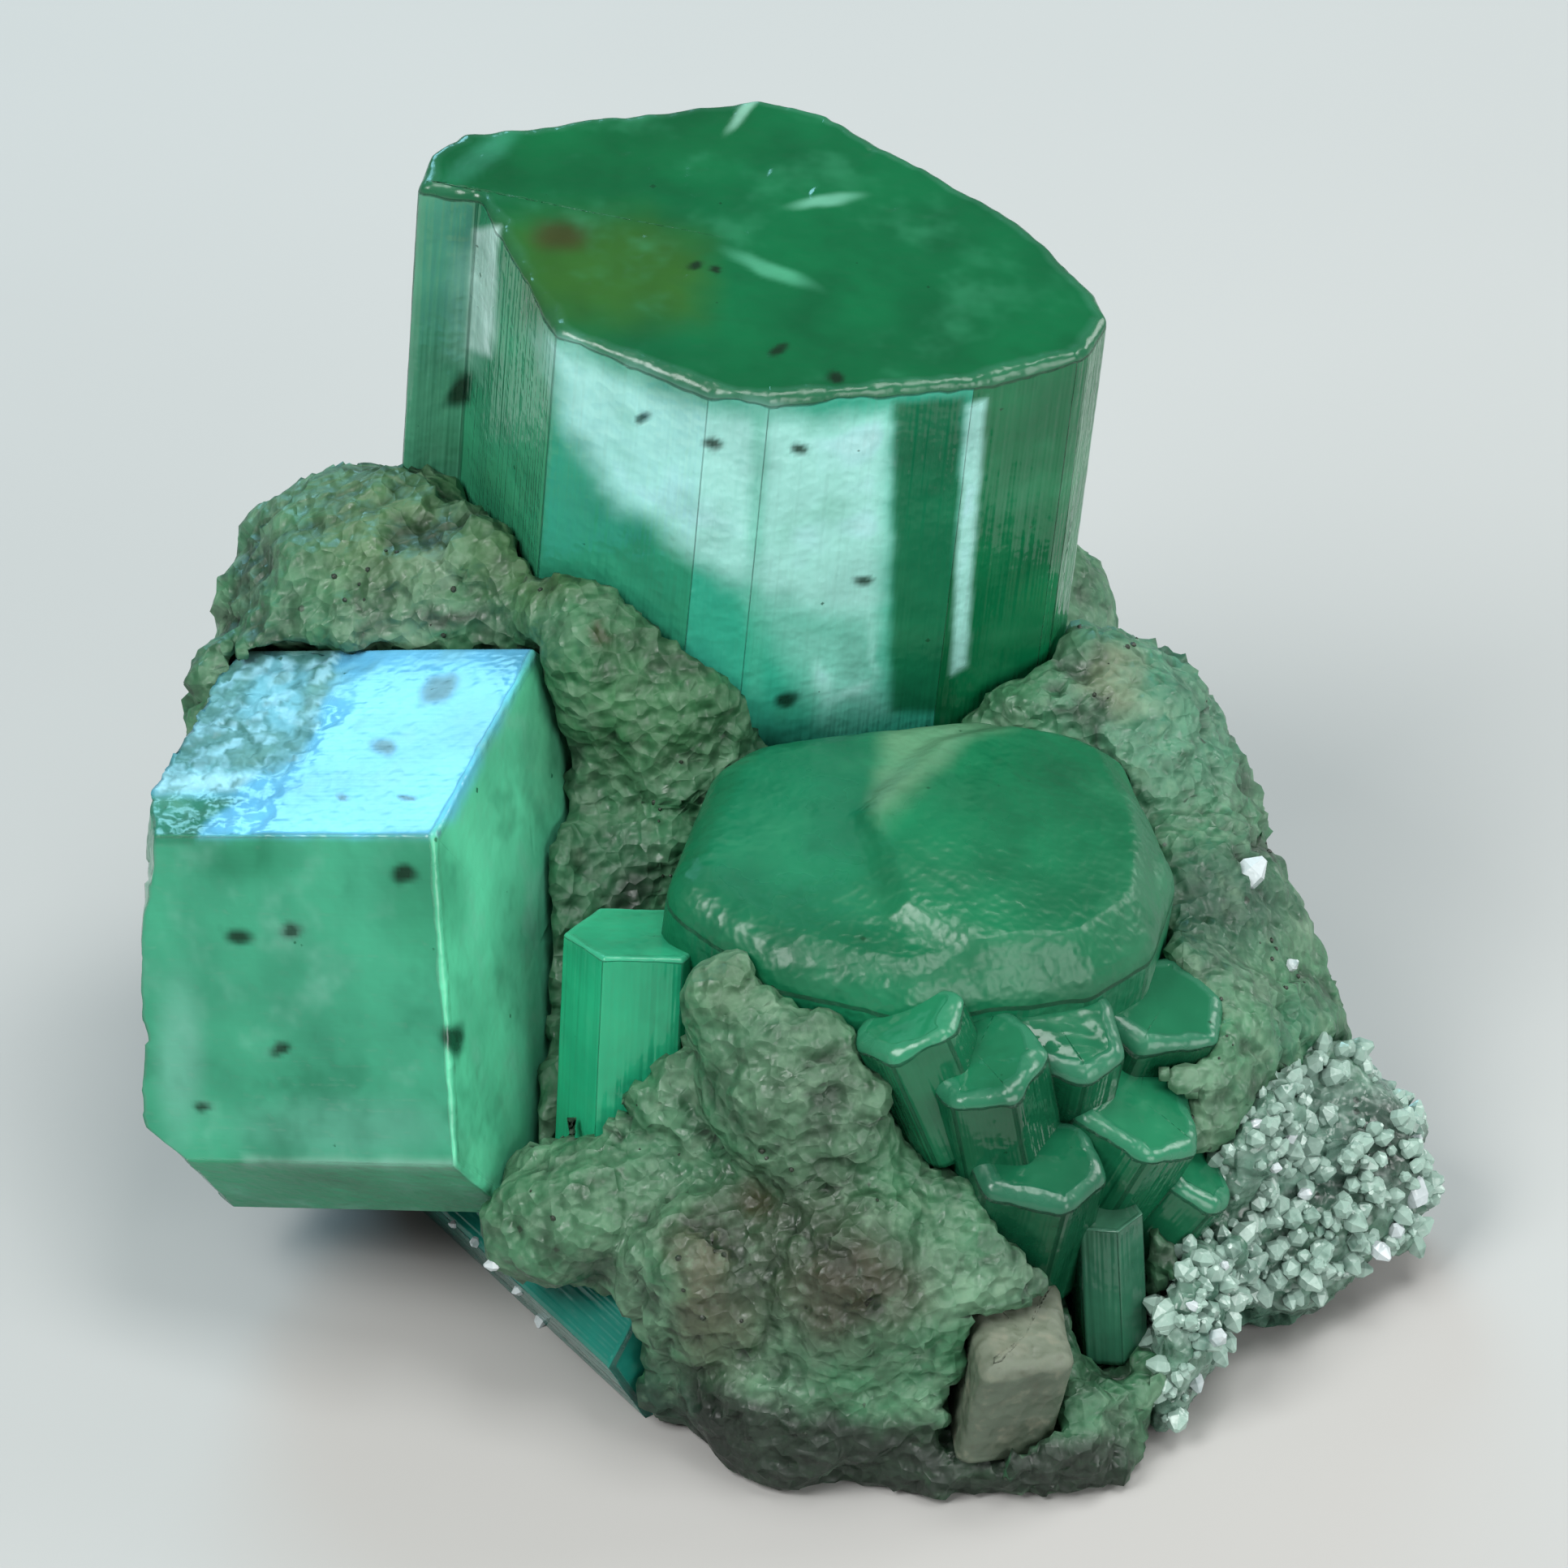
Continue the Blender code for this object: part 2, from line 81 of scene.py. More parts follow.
class LatticeNoise:
    """Repeatable noise over whole arrays of points."""

    def __init__(self, seed: int) -> None:
        """Draw the tables once.

        Args:
            seed: Fixed seed of the noise.
        """
        draw = np.random.default_rng(seed)
        self.order = draw.permutation(256)
        slopes = draw.normal(size=(256, 3))
        self.slopes = slopes / np.linalg.norm(slopes, axis=1, keepdims=True)
        self.shifts = draw.random((256, 3))

    def pick(self, cells: np.ndarray) -> np.ndarray:
        """Table entry of each whole-number cell."""
        x, y, z = (cells & 255).T
        return self.order[(self.order[(self.order[x] + y) & 255] + z) & 255]

    def soft(self, points: np.ndarray, size: float) -> np.ndarray:
        """Smooth noise with bumps of about one size.

        Args:
            points: Places in millimetres, one row each.
            size: Width of one bump in millimetres.

        Returns:
            One value a point, mostly within -1 and 1.
        """
        scaled = points / size
        cells = np.floor(scaled).astype(int)
        part = scaled - cells
        fade = part ** 3 * (part * (part * 6.0 - 15.0) + 10.0)
        total = np.zeros(len(points))
        for corner in product((0, 1), repeat=3):
            step = np.array(corner)
            slope = self.slopes[self.pick(cells + step)]
            share = np.prod(np.where(step == 1, fade, 1.0 - fade), axis=1)
            total += share * np.einsum("ij,ij->i", part - step, slope)
        return total * 1.7

    def layered(self, points: np.ndarray, size: float, layers: int = 3) -> np.ndarray:
        """Smooth noise with finer layers of half the size and half the height."""
        return sum(self.soft(points, size / 2 ** n) / 2 ** n for n in range(layers))

    def facets(self, points: np.ndarray, size: float) -> tuple[np.ndarray, np.ndarray]:
        """Flat tilted faces that meet at sharp edges, as on broken spar.

        Args:
            points: Places in millimetres, one row each.
            size: Width of one face in millimetres.

        Returns:
            Height of the face at each point, and a random share for the face.
        """
        scaled = points / size
        cells = np.floor(scaled).astype(int)
        nearest = np.full(len(points), 1e9)
        height = np.zeros(len(points))
        share = np.zeros(len(points))
        for step in product((-1, 0, 1), repeat=3):
            there = cells + np.array(step)
            entry = self.pick(there)
            offset = scaled - there - self.shifts[entry]
            distance = np.einsum("ij,ij->i", offset, offset)
            nearer = distance < nearest
            nearest = np.where(nearer, distance, nearest)
            height = np.where(nearer, np.einsum("ij,ij->i", offset, self.slopes[entry]), height)
            share = np.where(nearer, entry / 255.0, share)
        return height, share


@dataclass(frozen=True)
class View:
    """The viewing angle in which the specimen was laid out."""

    elevation: float = 35.0
    distance: float = 220.0
    centre: Triple = (-0.24, -2.4, 14.0)
    frame_scale: float = 47.2
    sensor: float = 36.0

    @property
    def axes(self) -> np.ndarray:
        """Right, up and near as the columns of a matrix."""
        tilt = math.radians(self.elevation)
        return np.array((
            (1.0, 0.0, 0.0),
            (0.0, math.sin(tilt), -math.cos(tilt)),
            (0.0, math.cos(tilt), math.sin(tilt)),
        ))

    def point(self, right: float, up: float, near: float) -> np.ndarray:
        """Model point in mm that shows at (right, up) and lies near the viewer."""
        spread = (self.distance - near) / self.distance
        return self.axes @ np.array((right * spread, up * spread, near)) + self.centre

    def project(self, points: np.ndarray) -> tuple[np.ndarray, np.ndarray, np.ndarray]:
        """Picture-frame place of model points.

        Args:
            points: Model points in mm, one row each.

        Returns:
            Across and down in the picture frame, and nearness in mm.
        """
        seen = (points - np.array(self.centre)) @ self.axes
        spread = self.frame_scale * self.distance / (self.distance - seen[:, 2])
        half = FRAME_SIZE / 2.0
        return half + seen[:, 0] * spread, half - seen[:, 1] * spread, seen[:, 2]

    def ray(self, across: float, down: float) -> tuple[Vector, Vector]:
        """Line of sight through a place in the picture frame.

        Args:
            across: Place from the left edge.
            down: Place from the upper edge.

        Returns:
            The eye in metres and the direction of sight.
        """
        half = FRAME_SIZE / 2.0
        right = (across - half) / self.frame_scale
        up = (half - down) / self.frame_scale
        eye = self.axes @ np.array((0.0, 0.0, self.distance)) + self.centre
        target = self.axes @ np.array((right, up, 0.0)) + self.centre
        return Vector(eye * MM), Vector(target - eye).normalized()

    def make_camera(self) -> bpy.types.Object:
        """Make the camera and set it as the scene's own.

        Returns:
            The camera.
        """
        lens = bpy.data.cameras.new("camera")
        camera = bpy.data.objects.new("camera", lens)
        bpy.context.scene.collection.objects.link(camera)
        place = self.axes @ np.array((0.0, 0.0, self.distance)) + self.centre
        turn = Matrix(self.axes.tolist()).to_4x4()
        camera.matrix_world = Matrix.Translation(Vector(place * MM)) @ turn
        lens.sensor_width = self.sensor
        lens.lens = self.sensor * self.distance / (FRAME_SIZE / self.frame_scale)
        lens.clip_start = 0.01
        lens.clip_end = 10.0
        bpy.context.scene.camera = camera
        return camera


VIEW = View()


# Soft-edged patches of colour


@dataclass(frozen=True)
class Spot:
    """An oval patch of colour in the picture frame."""

    colour: Colour
    amount: float
    place: Pair
    radii: Pair
    turn: float = 0.0
    frost: float = 0.0
    edge: float = 0.7
    feather: float = 8.0

    def weight(self, across: np.ndarray, down: np.ndarray) -> np.ndarray:
        """Strength of the patch at each place.

        Args:
            across: Places from the left edge of the picture frame.
            down: Places from its upper edge.

        Returns:
            Strength from 0 to the patch's amount.
        """
        angle = math.radians(self.turn)
        right = across - self.place[0]
        under = down - self.place[1]
        along = (right * math.cos(angle) - under * math.sin(angle)) / self.radii[0]
        over = (right * math.sin(angle) + under * math.cos(angle)) / self.radii[1]
        reach = np.sqrt(along ** 2 + over ** 2)
        return self.amount * (1.0 - smooth_step(1.0 - self.edge, 1.0 + self.edge * 0.4, reach))


@dataclass(frozen=True)
class Region:
    """A patch of colour with straight sides in the picture frame."""

    colour: Colour
    amount: float
    corners: tuple[Pair, ...]
    feather: float = 8.0
    frost: float = 0.0

    def weight(self, across: np.ndarray, down: np.ndarray) -> np.ndarray:
        """Strength of the patch at each place.

        Args:
            across: Places from the left edge of the picture frame.
            down: Places from its upper edge.

        Returns:
            Strength from 0 to the patch's amount.
        """
        inside = np.zeros(len(across), dtype=bool)
        nearest = np.full(len(across), 1e9)
        ends = self.corners[1:] + self.corners[:1]
        for (x0, y0), (x1, y1) in zip(self.corners, ends):
            rise = (y1 - y0) or 1e-6
            crossing = (x1 - x0) * (down - y0) / rise + x0
            inside ^= ((y0 > down) != (y1 > down)) & (across < crossing)
            size = (x1 - x0) ** 2 + (y1 - y0) ** 2
            along = np.clip(((across - x0) * (x1 - x0) + (down - y0) * (y1 - y0)) / size, 0, 1)
            away = np.hypot(across - x0 - along * (x1 - x0), down - y0 - along * (y1 - y0))
            nearest = np.minimum(nearest, away)
        signed = np.where(inside, nearest, -nearest)
        return self.amount * smooth_step(-self.feather, self.feather, signed)


# Node trees


def add_node(tree: bpy.types.NodeTree, kind: str, inputs: dict[str | int, Value] | None = None,
             **settings: object) -> bpy.types.Node:
    """Add a node and fill its inputs.

    Args:
        tree: The node tree.
        kind: Blender's name for the node type.
        inputs: Value or output socket for each named or numbered input.
        **settings: Properties of the node itself.

    Returns:
        The new node.
    """
    node = tree.nodes.new(kind)
    for name, value in settings.items():
        setattr(node, name, value)
    for name, value in (inputs or {}).items():
        if isinstance(value, bpy.types.NodeSocket):
            tree.links.new(value, node.inputs[name])
        else:
            node.inputs[name].default_value = value
    return node


def rgba(colour: Colour) -> tuple[float, float, float, float]:
    """Colour with full alpha."""
    return (*colour, 1.0)


def mixed(tree: bpy.types.NodeTree, factor: Value, first: Value,
          second: Value) -> bpy.types.NodeSocket:
    """Colour between two colours.

    Args:
        tree: The node tree.
        factor: Share of the second, as a number or a socket.
        first: Colour or socket.
        second: Colour or socket.

    Returns:
        The output socket.
    """
    inputs = {0: factor, 6: first, 7: second}
    return add_node(tree, "ShaderNodeMix", inputs, data_type="RGBA").outputs[2]


def computed(tree: bpy.types.NodeTree, operation: str, *values: Value,
             clamp: bool = False) -> bpy.types.NodeSocket:
    """Result of one Math node.

    Args:
        tree: The node tree.
        operation: Blender's name for the operation.
        *values: Numbers or sockets.
        clamp: Whether the result stays within 0 and 1.

    Returns:
        The output socket.
    """
    inputs = dict(enumerate(values))
    node = add_node(tree, "ShaderNodeMath", inputs, operation=operation, use_clamp=clamp)
    return node.outputs[0]


def mapped(tree: bpy.types.NodeTree, value: Value, low: float, high: float,
           new_low: float = 0.0, new_high: float = 1.0) -> bpy.types.NodeSocket:
    """A value taken smoothly from one range to another.

    Args:
        tree: The node tree.
        value: Number or socket.
        low: Start of its range.
        high: End of its range.
        new_low: Start of the new range.
        new_high: End of the new range.

    Returns:
        The output socket.
    """
    inputs = {"Value": value, 1: low, 2: high, 3: new_low, 4: new_high}
    node = add_node(tree, "ShaderNodeMapRange", inputs, interpolation_type="SMOOTHSTEP")
    return node.outputs[0]


def group_sockets(tree: bpy.types.NodeTree, inputs: dict[str, tuple[str, object]],
                  outputs: dict[str, str]) -> None:
    """Give a node group its named inputs and outputs.

    Args:
        tree: The group.
        inputs: Socket type and default, or None, for each input's name.
        outputs: Socket type for each output's name.
    """
    for name, (kind, default) in inputs.items():
        socket = tree.interface.new_socket(name, in_out="INPUT", socket_type=kind)
        if default is not None:
            socket.default_value = default
    for name, kind in outputs.items():
        tree.interface.new_socket(name, in_out="OUTPUT", socket_type=kind)


class SharedEffects:
    """Shader node groups used by more than one mineral, each built once."""

    def __init__(self) -> None:
        """Build the groups."""
        self.clouding = self.build_clouding()
        self.grain = self.build_grain()
        self.flecks = self.build_flecks()
        self.striae = self.build_striae()

    def build_clouding(self) -> bpy.types.NodeTree:
        """Cloudy patches, lighter and darker, inside a mineral's colour.

        Returns:
            The group.
        """
        tree = bpy.data.node_groups.new("Clouding", "ShaderNodeTree")
        group_sockets(
            tree,
            {
                "Vector": ("NodeSocketVector", None),
                "Colour": ("NodeSocketColor", (0.1, 0.4, 0.25, 1.0)),
                "Light": ("NodeSocketColor", (0.5, 0.8, 0.7, 1.0)),
                "Dark": ("NodeSocketColor", (0.01, 0.08, 0.04, 1.0)),
                "Scale": ("NodeSocketFloat", 500.0),
                "Amount": ("NodeSocketFloat", 0.5),
            },
            {"Colour": "NodeSocketColor", "Mask": "NodeSocketFloat"},
        )
        given = tree.nodes.new("NodeGroupInput").outputs
        cloud = add_node(tree, "ShaderNodeTexNoise", {
            "Vector": given["Vector"], "Scale": given["Scale"], "Detail": 3.0,
            "Roughness": 0.6,
        }).outputs["Fac"]
        shade = add_node(tree, "ShaderNodeRGBToBW", {0: given["Colour"]}).outputs[0]
        share = computed(tree, "MULTIPLY", mapped(tree, shade, 0.0, 0.1, 0.04, 1.0),
                         given["Amount"])
        light = computed(tree, "MULTIPLY", mapped(tree, cloud, 0.52, 0.78), share)
        dark = computed(tree, "MULTIPLY", mapped(tree, cloud, 0.48, 0.24), given["Amount"])
        lighter = mixed(tree, light, given["Colour"], given["Light"])
        darker = mixed(tree, dark, lighter, given["Dark"])
        add_node(tree, "NodeGroupOutput", {"Colour": darker, "Mask": cloud})
        return tree

    def build_grain(self) -> bpy.types.NodeTree:
        """Fine irregular height of a broken or etched surface.

        Returns:
            The group.
        """
        tree = bpy.data.node_groups.new("Fine grain", "ShaderNodeTree")
        group_sockets(
            tree,
            {
                "Vector": ("NodeSocketVector", None),
                "Scale": ("NodeSocketFloat", 3000.0),
                "Sharpness": ("NodeSocketFloat", 0.5),
            },
            {"Height": "NodeSocketFloat"},
        )
        given = tree.nodes.new("NodeGroupInput").outputs
        soft = add_node(tree, "ShaderNodeTexNoise", {
            "Vector": given["Vector"], "Scale": given["Scale"], "Detail": 1.0, "Roughness": 0.65,
        }).outputs["Fac"]
        sharp = add_node(tree, "ShaderNodeTexVoronoi", {
            "Vector": given["Vector"], "Scale": given["Scale"], "Randomness": 1.0,
        }, feature="F1").outputs["Distance"]
        part = computed(tree, "MULTIPLY", sharp, given["Sharpness"])
        add_node(tree, "NodeGroupOutput", {"Height": computed(tree, "ADD", soft, part)})
        return tree

    def build_flecks(self) -> bpy.types.NodeTree:
        """Scattered small flecks as a mask.

        Returns:
            The group.
        """
        tree = bpy.data.node_groups.new("Flecks", "ShaderNodeTree")
        group_sockets(
            tree,
            {
                "Vector": ("NodeSocketVector", None),
                "Scale": ("NodeSocketFloat", 900.0),
                "Size": ("NodeSocketFloat", 0.2),
            },
            {"Mask": "NodeSocketFloat"},
        )
        given = tree.nodes.new("NodeGroupInput").outputs
        cells = add_node(tree, "ShaderNodeTexVoronoi", {
            "Vector": given["Vector"], "Scale": given["Scale"], "Randomness": 1.0,
        }, feature="F1", distance="MANHATTAN")
        chance = add_node(tree, "ShaderNodeSeparateColor", {0: cells.outputs["Color"]}).outputs[0]
        size = computed(tree, "MULTIPLY", given["Size"], mapped(tree, chance, 0.55, 1.0))
        edge = computed(tree, "SUBTRACT", size, cells.outputs["Distance"])
        add_node(tree, "NodeGroupOutput", {"Mask": mapped(tree, edge, 0.0, 0.06)})
        return tree

    def build_striae(self) -> bpy.types.NodeTree:
        """Fine growth lines that follow a crystal's length, as a height.

        Returns:
            The group.
        """
        tree = bpy.data.node_groups.new("Growth lines", "ShaderNodeTree")
        group_sockets(
            tree,
            {
                "Around": ("NodeSocketFloat", 0.0),
                "Along": ("NodeSocketFloat", 0.0),
                "Scale": ("NodeSocketFloat", 6.0),
            },
            {"Height": "NodeSocketFloat"},
        )
        given = tree.nodes.new("NodeGroupInput").outputs
        place = add_node(tree, "ShaderNodeCombineXYZ", {
            0: computed(tree, "MULTIPLY", given["Around"], given["Scale"]),
            1: computed(tree, "MULTIPLY", given["Along"], 0.12),
        }).outputs[0]
        lines = add_node(tree, "ShaderNodeTexNoise", {
            "Vector": place, "Scale": 1.0, "Detail": 1.0, "Roughness": 0.7,
        }).outputs["Fac"]
        add_node(tree, "NodeGroupOutput", {"Height": lines})
        return tree


def use_group(tree: bpy.types.NodeTree, group: bpy.types.NodeTree,
              inputs: dict[str, Value]) -> bpy.types.Node:
    """Place a shared effect in a material with its own values."""
    return add_node(tree, "ShaderNodeGroup", inputs, node_tree=group)


def own_attribute(tree: bpy.types.NodeTree, name: str,
                  output: str = "Color") -> bpy.types.NodeSocket:
    """One of the piece's own attributes."""
    return add_node(tree, "ShaderNodeAttribute", attribute_name=name).outputs[output]


def new_material(name: str) -> tuple[bpy.types.Material, bpy.types.NodeTree, bpy.types.Node]:
    """An empty material with its Principled shader.

    Args:
        name: Name of the material.

    Returns:
        The material, its tree and the shader node.
    """
    material = bpy.data.materials.new(name)
    material.use_nodes = True
    tree = material.node_tree
    return material, tree, tree.nodes["Principled BSDF"]


@dataclass(frozen=True)
class EmeraldFinish:
    """Included emerald: part clear, part clouded, with growth lines."""

    name: str
    light: Colour
    dark: Colour
    transmission: float = 0.45
    ior: float = 1.58
    specular: float = 0.35
    absorb: Colour = (0.02, 0.7, 0.4)
    density: float = 420.0
    clouding: float = 0.28
    cloud_scale: float = 420.0
    fleck_scale: float = 1100.0
    fleck_size: float = 0.14
    fleck_share: float = 0.75
    roughness: float = 0.08
    roughness_spread: float = 0.1
    frost_roughness: float = 0.38
    line_scale: float = 5.0
    line_height: float = 0.05
    grain_scale: float = 2600.0
    grain_sharpness: float = 0.4
    grain_height: float = 0.02
    etch_height: float = 0.06

    def material(self, effects: SharedEffects) -> bpy.types.Material:
        """Make the material.

        Args:
            effects: The shared node groups.

        Returns:
            The material.
        """
        material, tree, shader = new_material(self.name)
        place = add_node(tree, "ShaderNodeTexCoord").outputs["Object"]
        tint = own_attribute(tree, "tint")
        frost = own_attribute(tree, "frost", "Fac")
        clouds = use_group(tree, effects.clouding, {
            "Vector": place, "Colour": tint, "Light": rgba(self.light), "Dark": rgba(self.dark),
            "Scale": self.cloud_scale, "Amount": self.clouding,
        })
        flecks = use_group(tree, effects.flecks, {
            "Vector": place, "Scale": self.fleck_scale, "Size": self.fleck_size,
        })
        specked = mixed(tree, computed(tree, "MULTIPLY", flecks.outputs["Mask"], self.fleck_share),
                        clouds.outputs["Colour"], rgba(self.dark))
        tree.links.new(specked, shader.inputs["Base Color"])
        uneven = mapped(tree, clouds.outputs["Mask"], 0.3, 0.75, 0.0, self.roughness_spread)
        haze = computed(tree, "MULTIPLY", frost, self.frost_roughness)
        rough = computed(tree, "ADD", computed(tree, "ADD", uneven, haze), self.roughness)
        tree.links.new(rough, shader.inputs["Roughness"])
        lines = use_group(tree, effects.striae, {
            "Around": own_attribute(tree, "around", "Fac"),
            "Along": own_attribute(tree, "along", "Fac"), "Scale": self.line_scale,
        }).outputs["Height"]
        grain = use_group(tree, effects.grain, {
            "Vector": place, "Scale": self.grain_scale, "Sharpness": self.grain_sharpness,
        }).outputs["Height"]
        both = computed(tree, "ADD", computed(tree, "MULTIPLY", lines, self.line_height),
                        computed(tree, "MULTIPLY", grain, self.grain_height))
        etching = computed(tree, "MULTIPLY", grain, self.etch_height)
        etched = computed(tree, "MULTIPLY", etching, frost)
        bump = add_node(tree, "ShaderNodeBump", {
            "Strength": 1.0, "Distance": MM, "Height": computed(tree, "ADD", both, etched),
        })
        tree.links.new(bump.outputs[0], shader.inputs["Normal"])
        shader.inputs["Transmission Weight"].default_value = self.transmission
        shader.inputs["IOR"].default_value = self.ior
        shader.inputs["Specular IOR Level"].default_value = self.specular
        volume = add_node(tree, "ShaderNodeVolumeAbsorption", {
            "Color": rgba(self.absorb), "Density": self.density,
        })
        tree.links.new(volume.outputs[0], tree.nodes["Material Output"].inputs["Volume"])
        return material


@dataclass(frozen=True)
class StoneFinish:
    """Calcite or druse: mottled, with flecks and a broken grain."""

    name: str
    light: Colour
    dark: Colour
    fleck: Colour
    clouding: float = 0.6
    cloud_scale: float = 700.0
    fine_ratio: float = 4.0
    fine_clouding: float = 0.4
    fleck_scale: float = 1000.0
    fleck_size: float = 0.19
    fleck_share: float = 0.7
    roughness: float = 0.38
    roughness_spread: float = 0.3
    frost_roughness: float = 0.25
    grain_scale: float = 1900.0
    grain_sharpness: float = 0.8
    grain_height: float = 0.26
    ior: float = 1.55

    def material(self, effects: SharedEffects) -> bpy.types.Material:
        """Make the material.

        Args:
            effects: The shared node groups.

        Returns:
            The material.
        """
        material, tree, shader = new_material(self.name)
        place = add_node(tree, "ShaderNodeTexCoord").outputs["Object"]
        frost = own_attribute(tree, "frost", "Fac")
        clouds = use_group(tree, effects.clouding, {
            "Vector": place, "Colour": own_attribute(tree, "tint"), "Light": rgba(self.light),
            "Dark": rgba(self.dark), "Scale": self.cloud_scale, "Amount": self.clouding,
        })
        fine = use_group(tree, effects.clouding, {
            "Vector": place, "Colour": clouds.outputs["Colour"], "Light": rgba(self.light),
            "Dark": rgba(self.dark), "Scale": self.cloud_scale * self.fine_ratio,
            "Amount": self.fine_clouding,
        })
        flecks = use_group(tree, effects.flecks, {
            "Vector": place, "Scale": self.fleck_scale, "Size": self.fleck_size,
        })
        specked = mixed(tree, computed(tree, "MULTIPLY", flecks.outputs["Mask"], self.fleck_share),
                        fine.outputs["Colour"], rgba(self.fleck))
        tree.links.new(specked, shader.inputs["Base Color"])
        rough = mapped(tree, fine.outputs["Mask"], 0.3, 0.7, self.roughness,
                       self.roughness + self.roughness_spread)
        haze = computed(tree, "MULTIPLY", frost, self.frost_roughness)
        matt = computed(tree, "ADD", rough, haze, clamp=True)
        tree.links.new(matt, shader.inputs["Roughness"])
        grain = use_group(tree, effects.grain, {
            "Vector": place, "Scale": self.grain_scale, "Sharpness": self.grain_sharpness,
        }).outputs["Height"]
        bump = add_node(tree, "ShaderNodeBump", {
            "Strength": 1.0, "Distance": MM,
            "Height": computed(tree, "MULTIPLY", grain, self.grain_height),
        })
        tree.links.new(bump.outputs[0], shader.inputs["Normal"])
        shader.inputs["IOR"].default_value = self.ior
        return material


@dataclass(frozen=True)
class GrainFinish:
    """Small scattered grains, each a little different in colour."""

    name: str
    light: Colour
    dark: Colour
    roughness: float = 0.15
    roughness_spread: float = 0.2
    transmission: float = 0.0
    ior: float = 1.54
    cloud_scale: float = 900.0
    grain_scale: float = 5000.0
    grain_sharpness: float = 0.5
    grain_height: float = 0.02

    def material(self, effects: SharedEffects) -> bpy.types.Material:
        """Make the material.

        Args:
            effects: The shared node groups.

        Returns:
            The material.
        """
        material, tree, shader = new_material(self.name)
        place = add_node(tree, "ShaderNodeTexCoord").outputs["Object"]
        clouds = use_group(tree, effects.clouding, {
            "Vector": place, "Colour": rgba(self.light), "Light": rgba(self.light),
            "Dark": rgba(self.dark), "Scale": self.cloud_scale, "Amount": 1.0,
        })
        tree.links.new(clouds.outputs["Colour"], shader.inputs["Base Color"])
        rough = mapped(tree, clouds.outputs["Mask"], 0.3, 0.7, self.roughness,
                       self.roughness + self.roughness_spread)
        tree.links.new(rough, shader.inputs["Roughness"])
        grain = use_group(tree, effects.grain, {
            "Vector": place, "Scale": self.grain_scale, "Sharpness": self.grain_sharpness,
        }).outputs["Height"]
        bump = add_node(tree, "ShaderNodeBump", {
            "Strength": 1.0, "Distance": MM,
            "Height": computed(tree, "MULTIPLY", grain, self.grain_height),
        })
        tree.links.new(bump.outputs[0], shader.inputs["Normal"])
        shader.inputs["Transmission Weight"].default_value = self.transmission
        shader.inputs["IOR"].default_value = self.ior
        return material


# Meshes


def new_mesh(name: str, points: np.ndarray, faces: list[tuple[int, ...]]) -> bpy.types.Mesh:
    """Make a mesh.

    Args:
        name: Name of the mesh.
        points: Points in millimetres, one row each.
        faces: Numbers of each face's points.

    Returns:
        The mesh.
    """
    mesh = bpy.data.meshes.new(name)
    mesh.from_pydata((points * MM).tolist(), [], faces)
    mesh.validate()
    return mesh


def add_piece(name: str, mesh: bpy.types.Mesh) -> bpy.types.Object:
    """Put a mesh in the scene.

    Args:
        name: Name of the object.
        mesh: Its mesh.

    Returns:
        The object, at the origin.
    """
    item = bpy.data.objects.new(name, mesh)
    bpy.context.scene.collection.objects.link(item)
    return item


def write_values(mesh: bpy.types.Mesh, name: str, values: np.ndarray) -> None:
    """Store a value for each point of a mesh.

    Args:
        mesh: The mesh.
        name: Name of the attribute.
        values: One number, or one row of three, for each point.
    """
    if values.ndim == 1:
        layer = mesh.attributes.new(name, "FLOAT", "POINT")
        layer.data.foreach_set("value", values.astype(np.float32))
        return
    layer = mesh.attributes.new(name, "FLOAT_VECTOR", "POINT")
    layer.data.foreach_set("vector", values.astype(np.float32).ravel())


def mesh_points(mesh: bpy.types.Mesh) -> np.ndarray:
    """Read the points of a mesh.

    Args:
        mesh: The mesh.

    Returns:
        The points in millimetres, one row each.
    """
    values = np.empty(len(mesh.vertices) * 3, dtype=np.float32)
    mesh.vertices.foreach_get("co", values)
    return values.reshape(-1, 3).astype(float) / MM


def mesh_normals(mesh: bpy.types.Mesh) -> np.ndarray:
    """Read the directions in which a mesh faces at its points.

    Args:
        mesh: The mesh.

    Returns:
        Unit directions, one row each.
    """
    values = np.empty(len(mesh.vertices) * 3, dtype=np.float32)
    mesh.vertex_normals.foreach_get("vector", values)
    return values.reshape(-1, 3).astype(float)


def set_points(mesh: bpy.types.Mesh, points: np.ndarray) -> None:
    """Move the points of a mesh, given in millimetres."""
    mesh.vertices.foreach_set("co", (points * MM).astype(np.float32).ravel())
    mesh.update()


@dataclass(frozen=True)
class Outline:
    """A crystal's cross-section as a closed row of points."""

    points: np.ndarray
    normals: np.ndarray
    side: np.ndarray
    around: np.ndarray


LARGEST_TRIM = 0.4


def turn_between(first: np.ndarray, second: np.ndarray) -> float:
    """Angle in radians between the directions of two neighbouring sides."""
    return abs(math.asin(max(-1.0, min(1.0, float(np.cross(first, second))))))


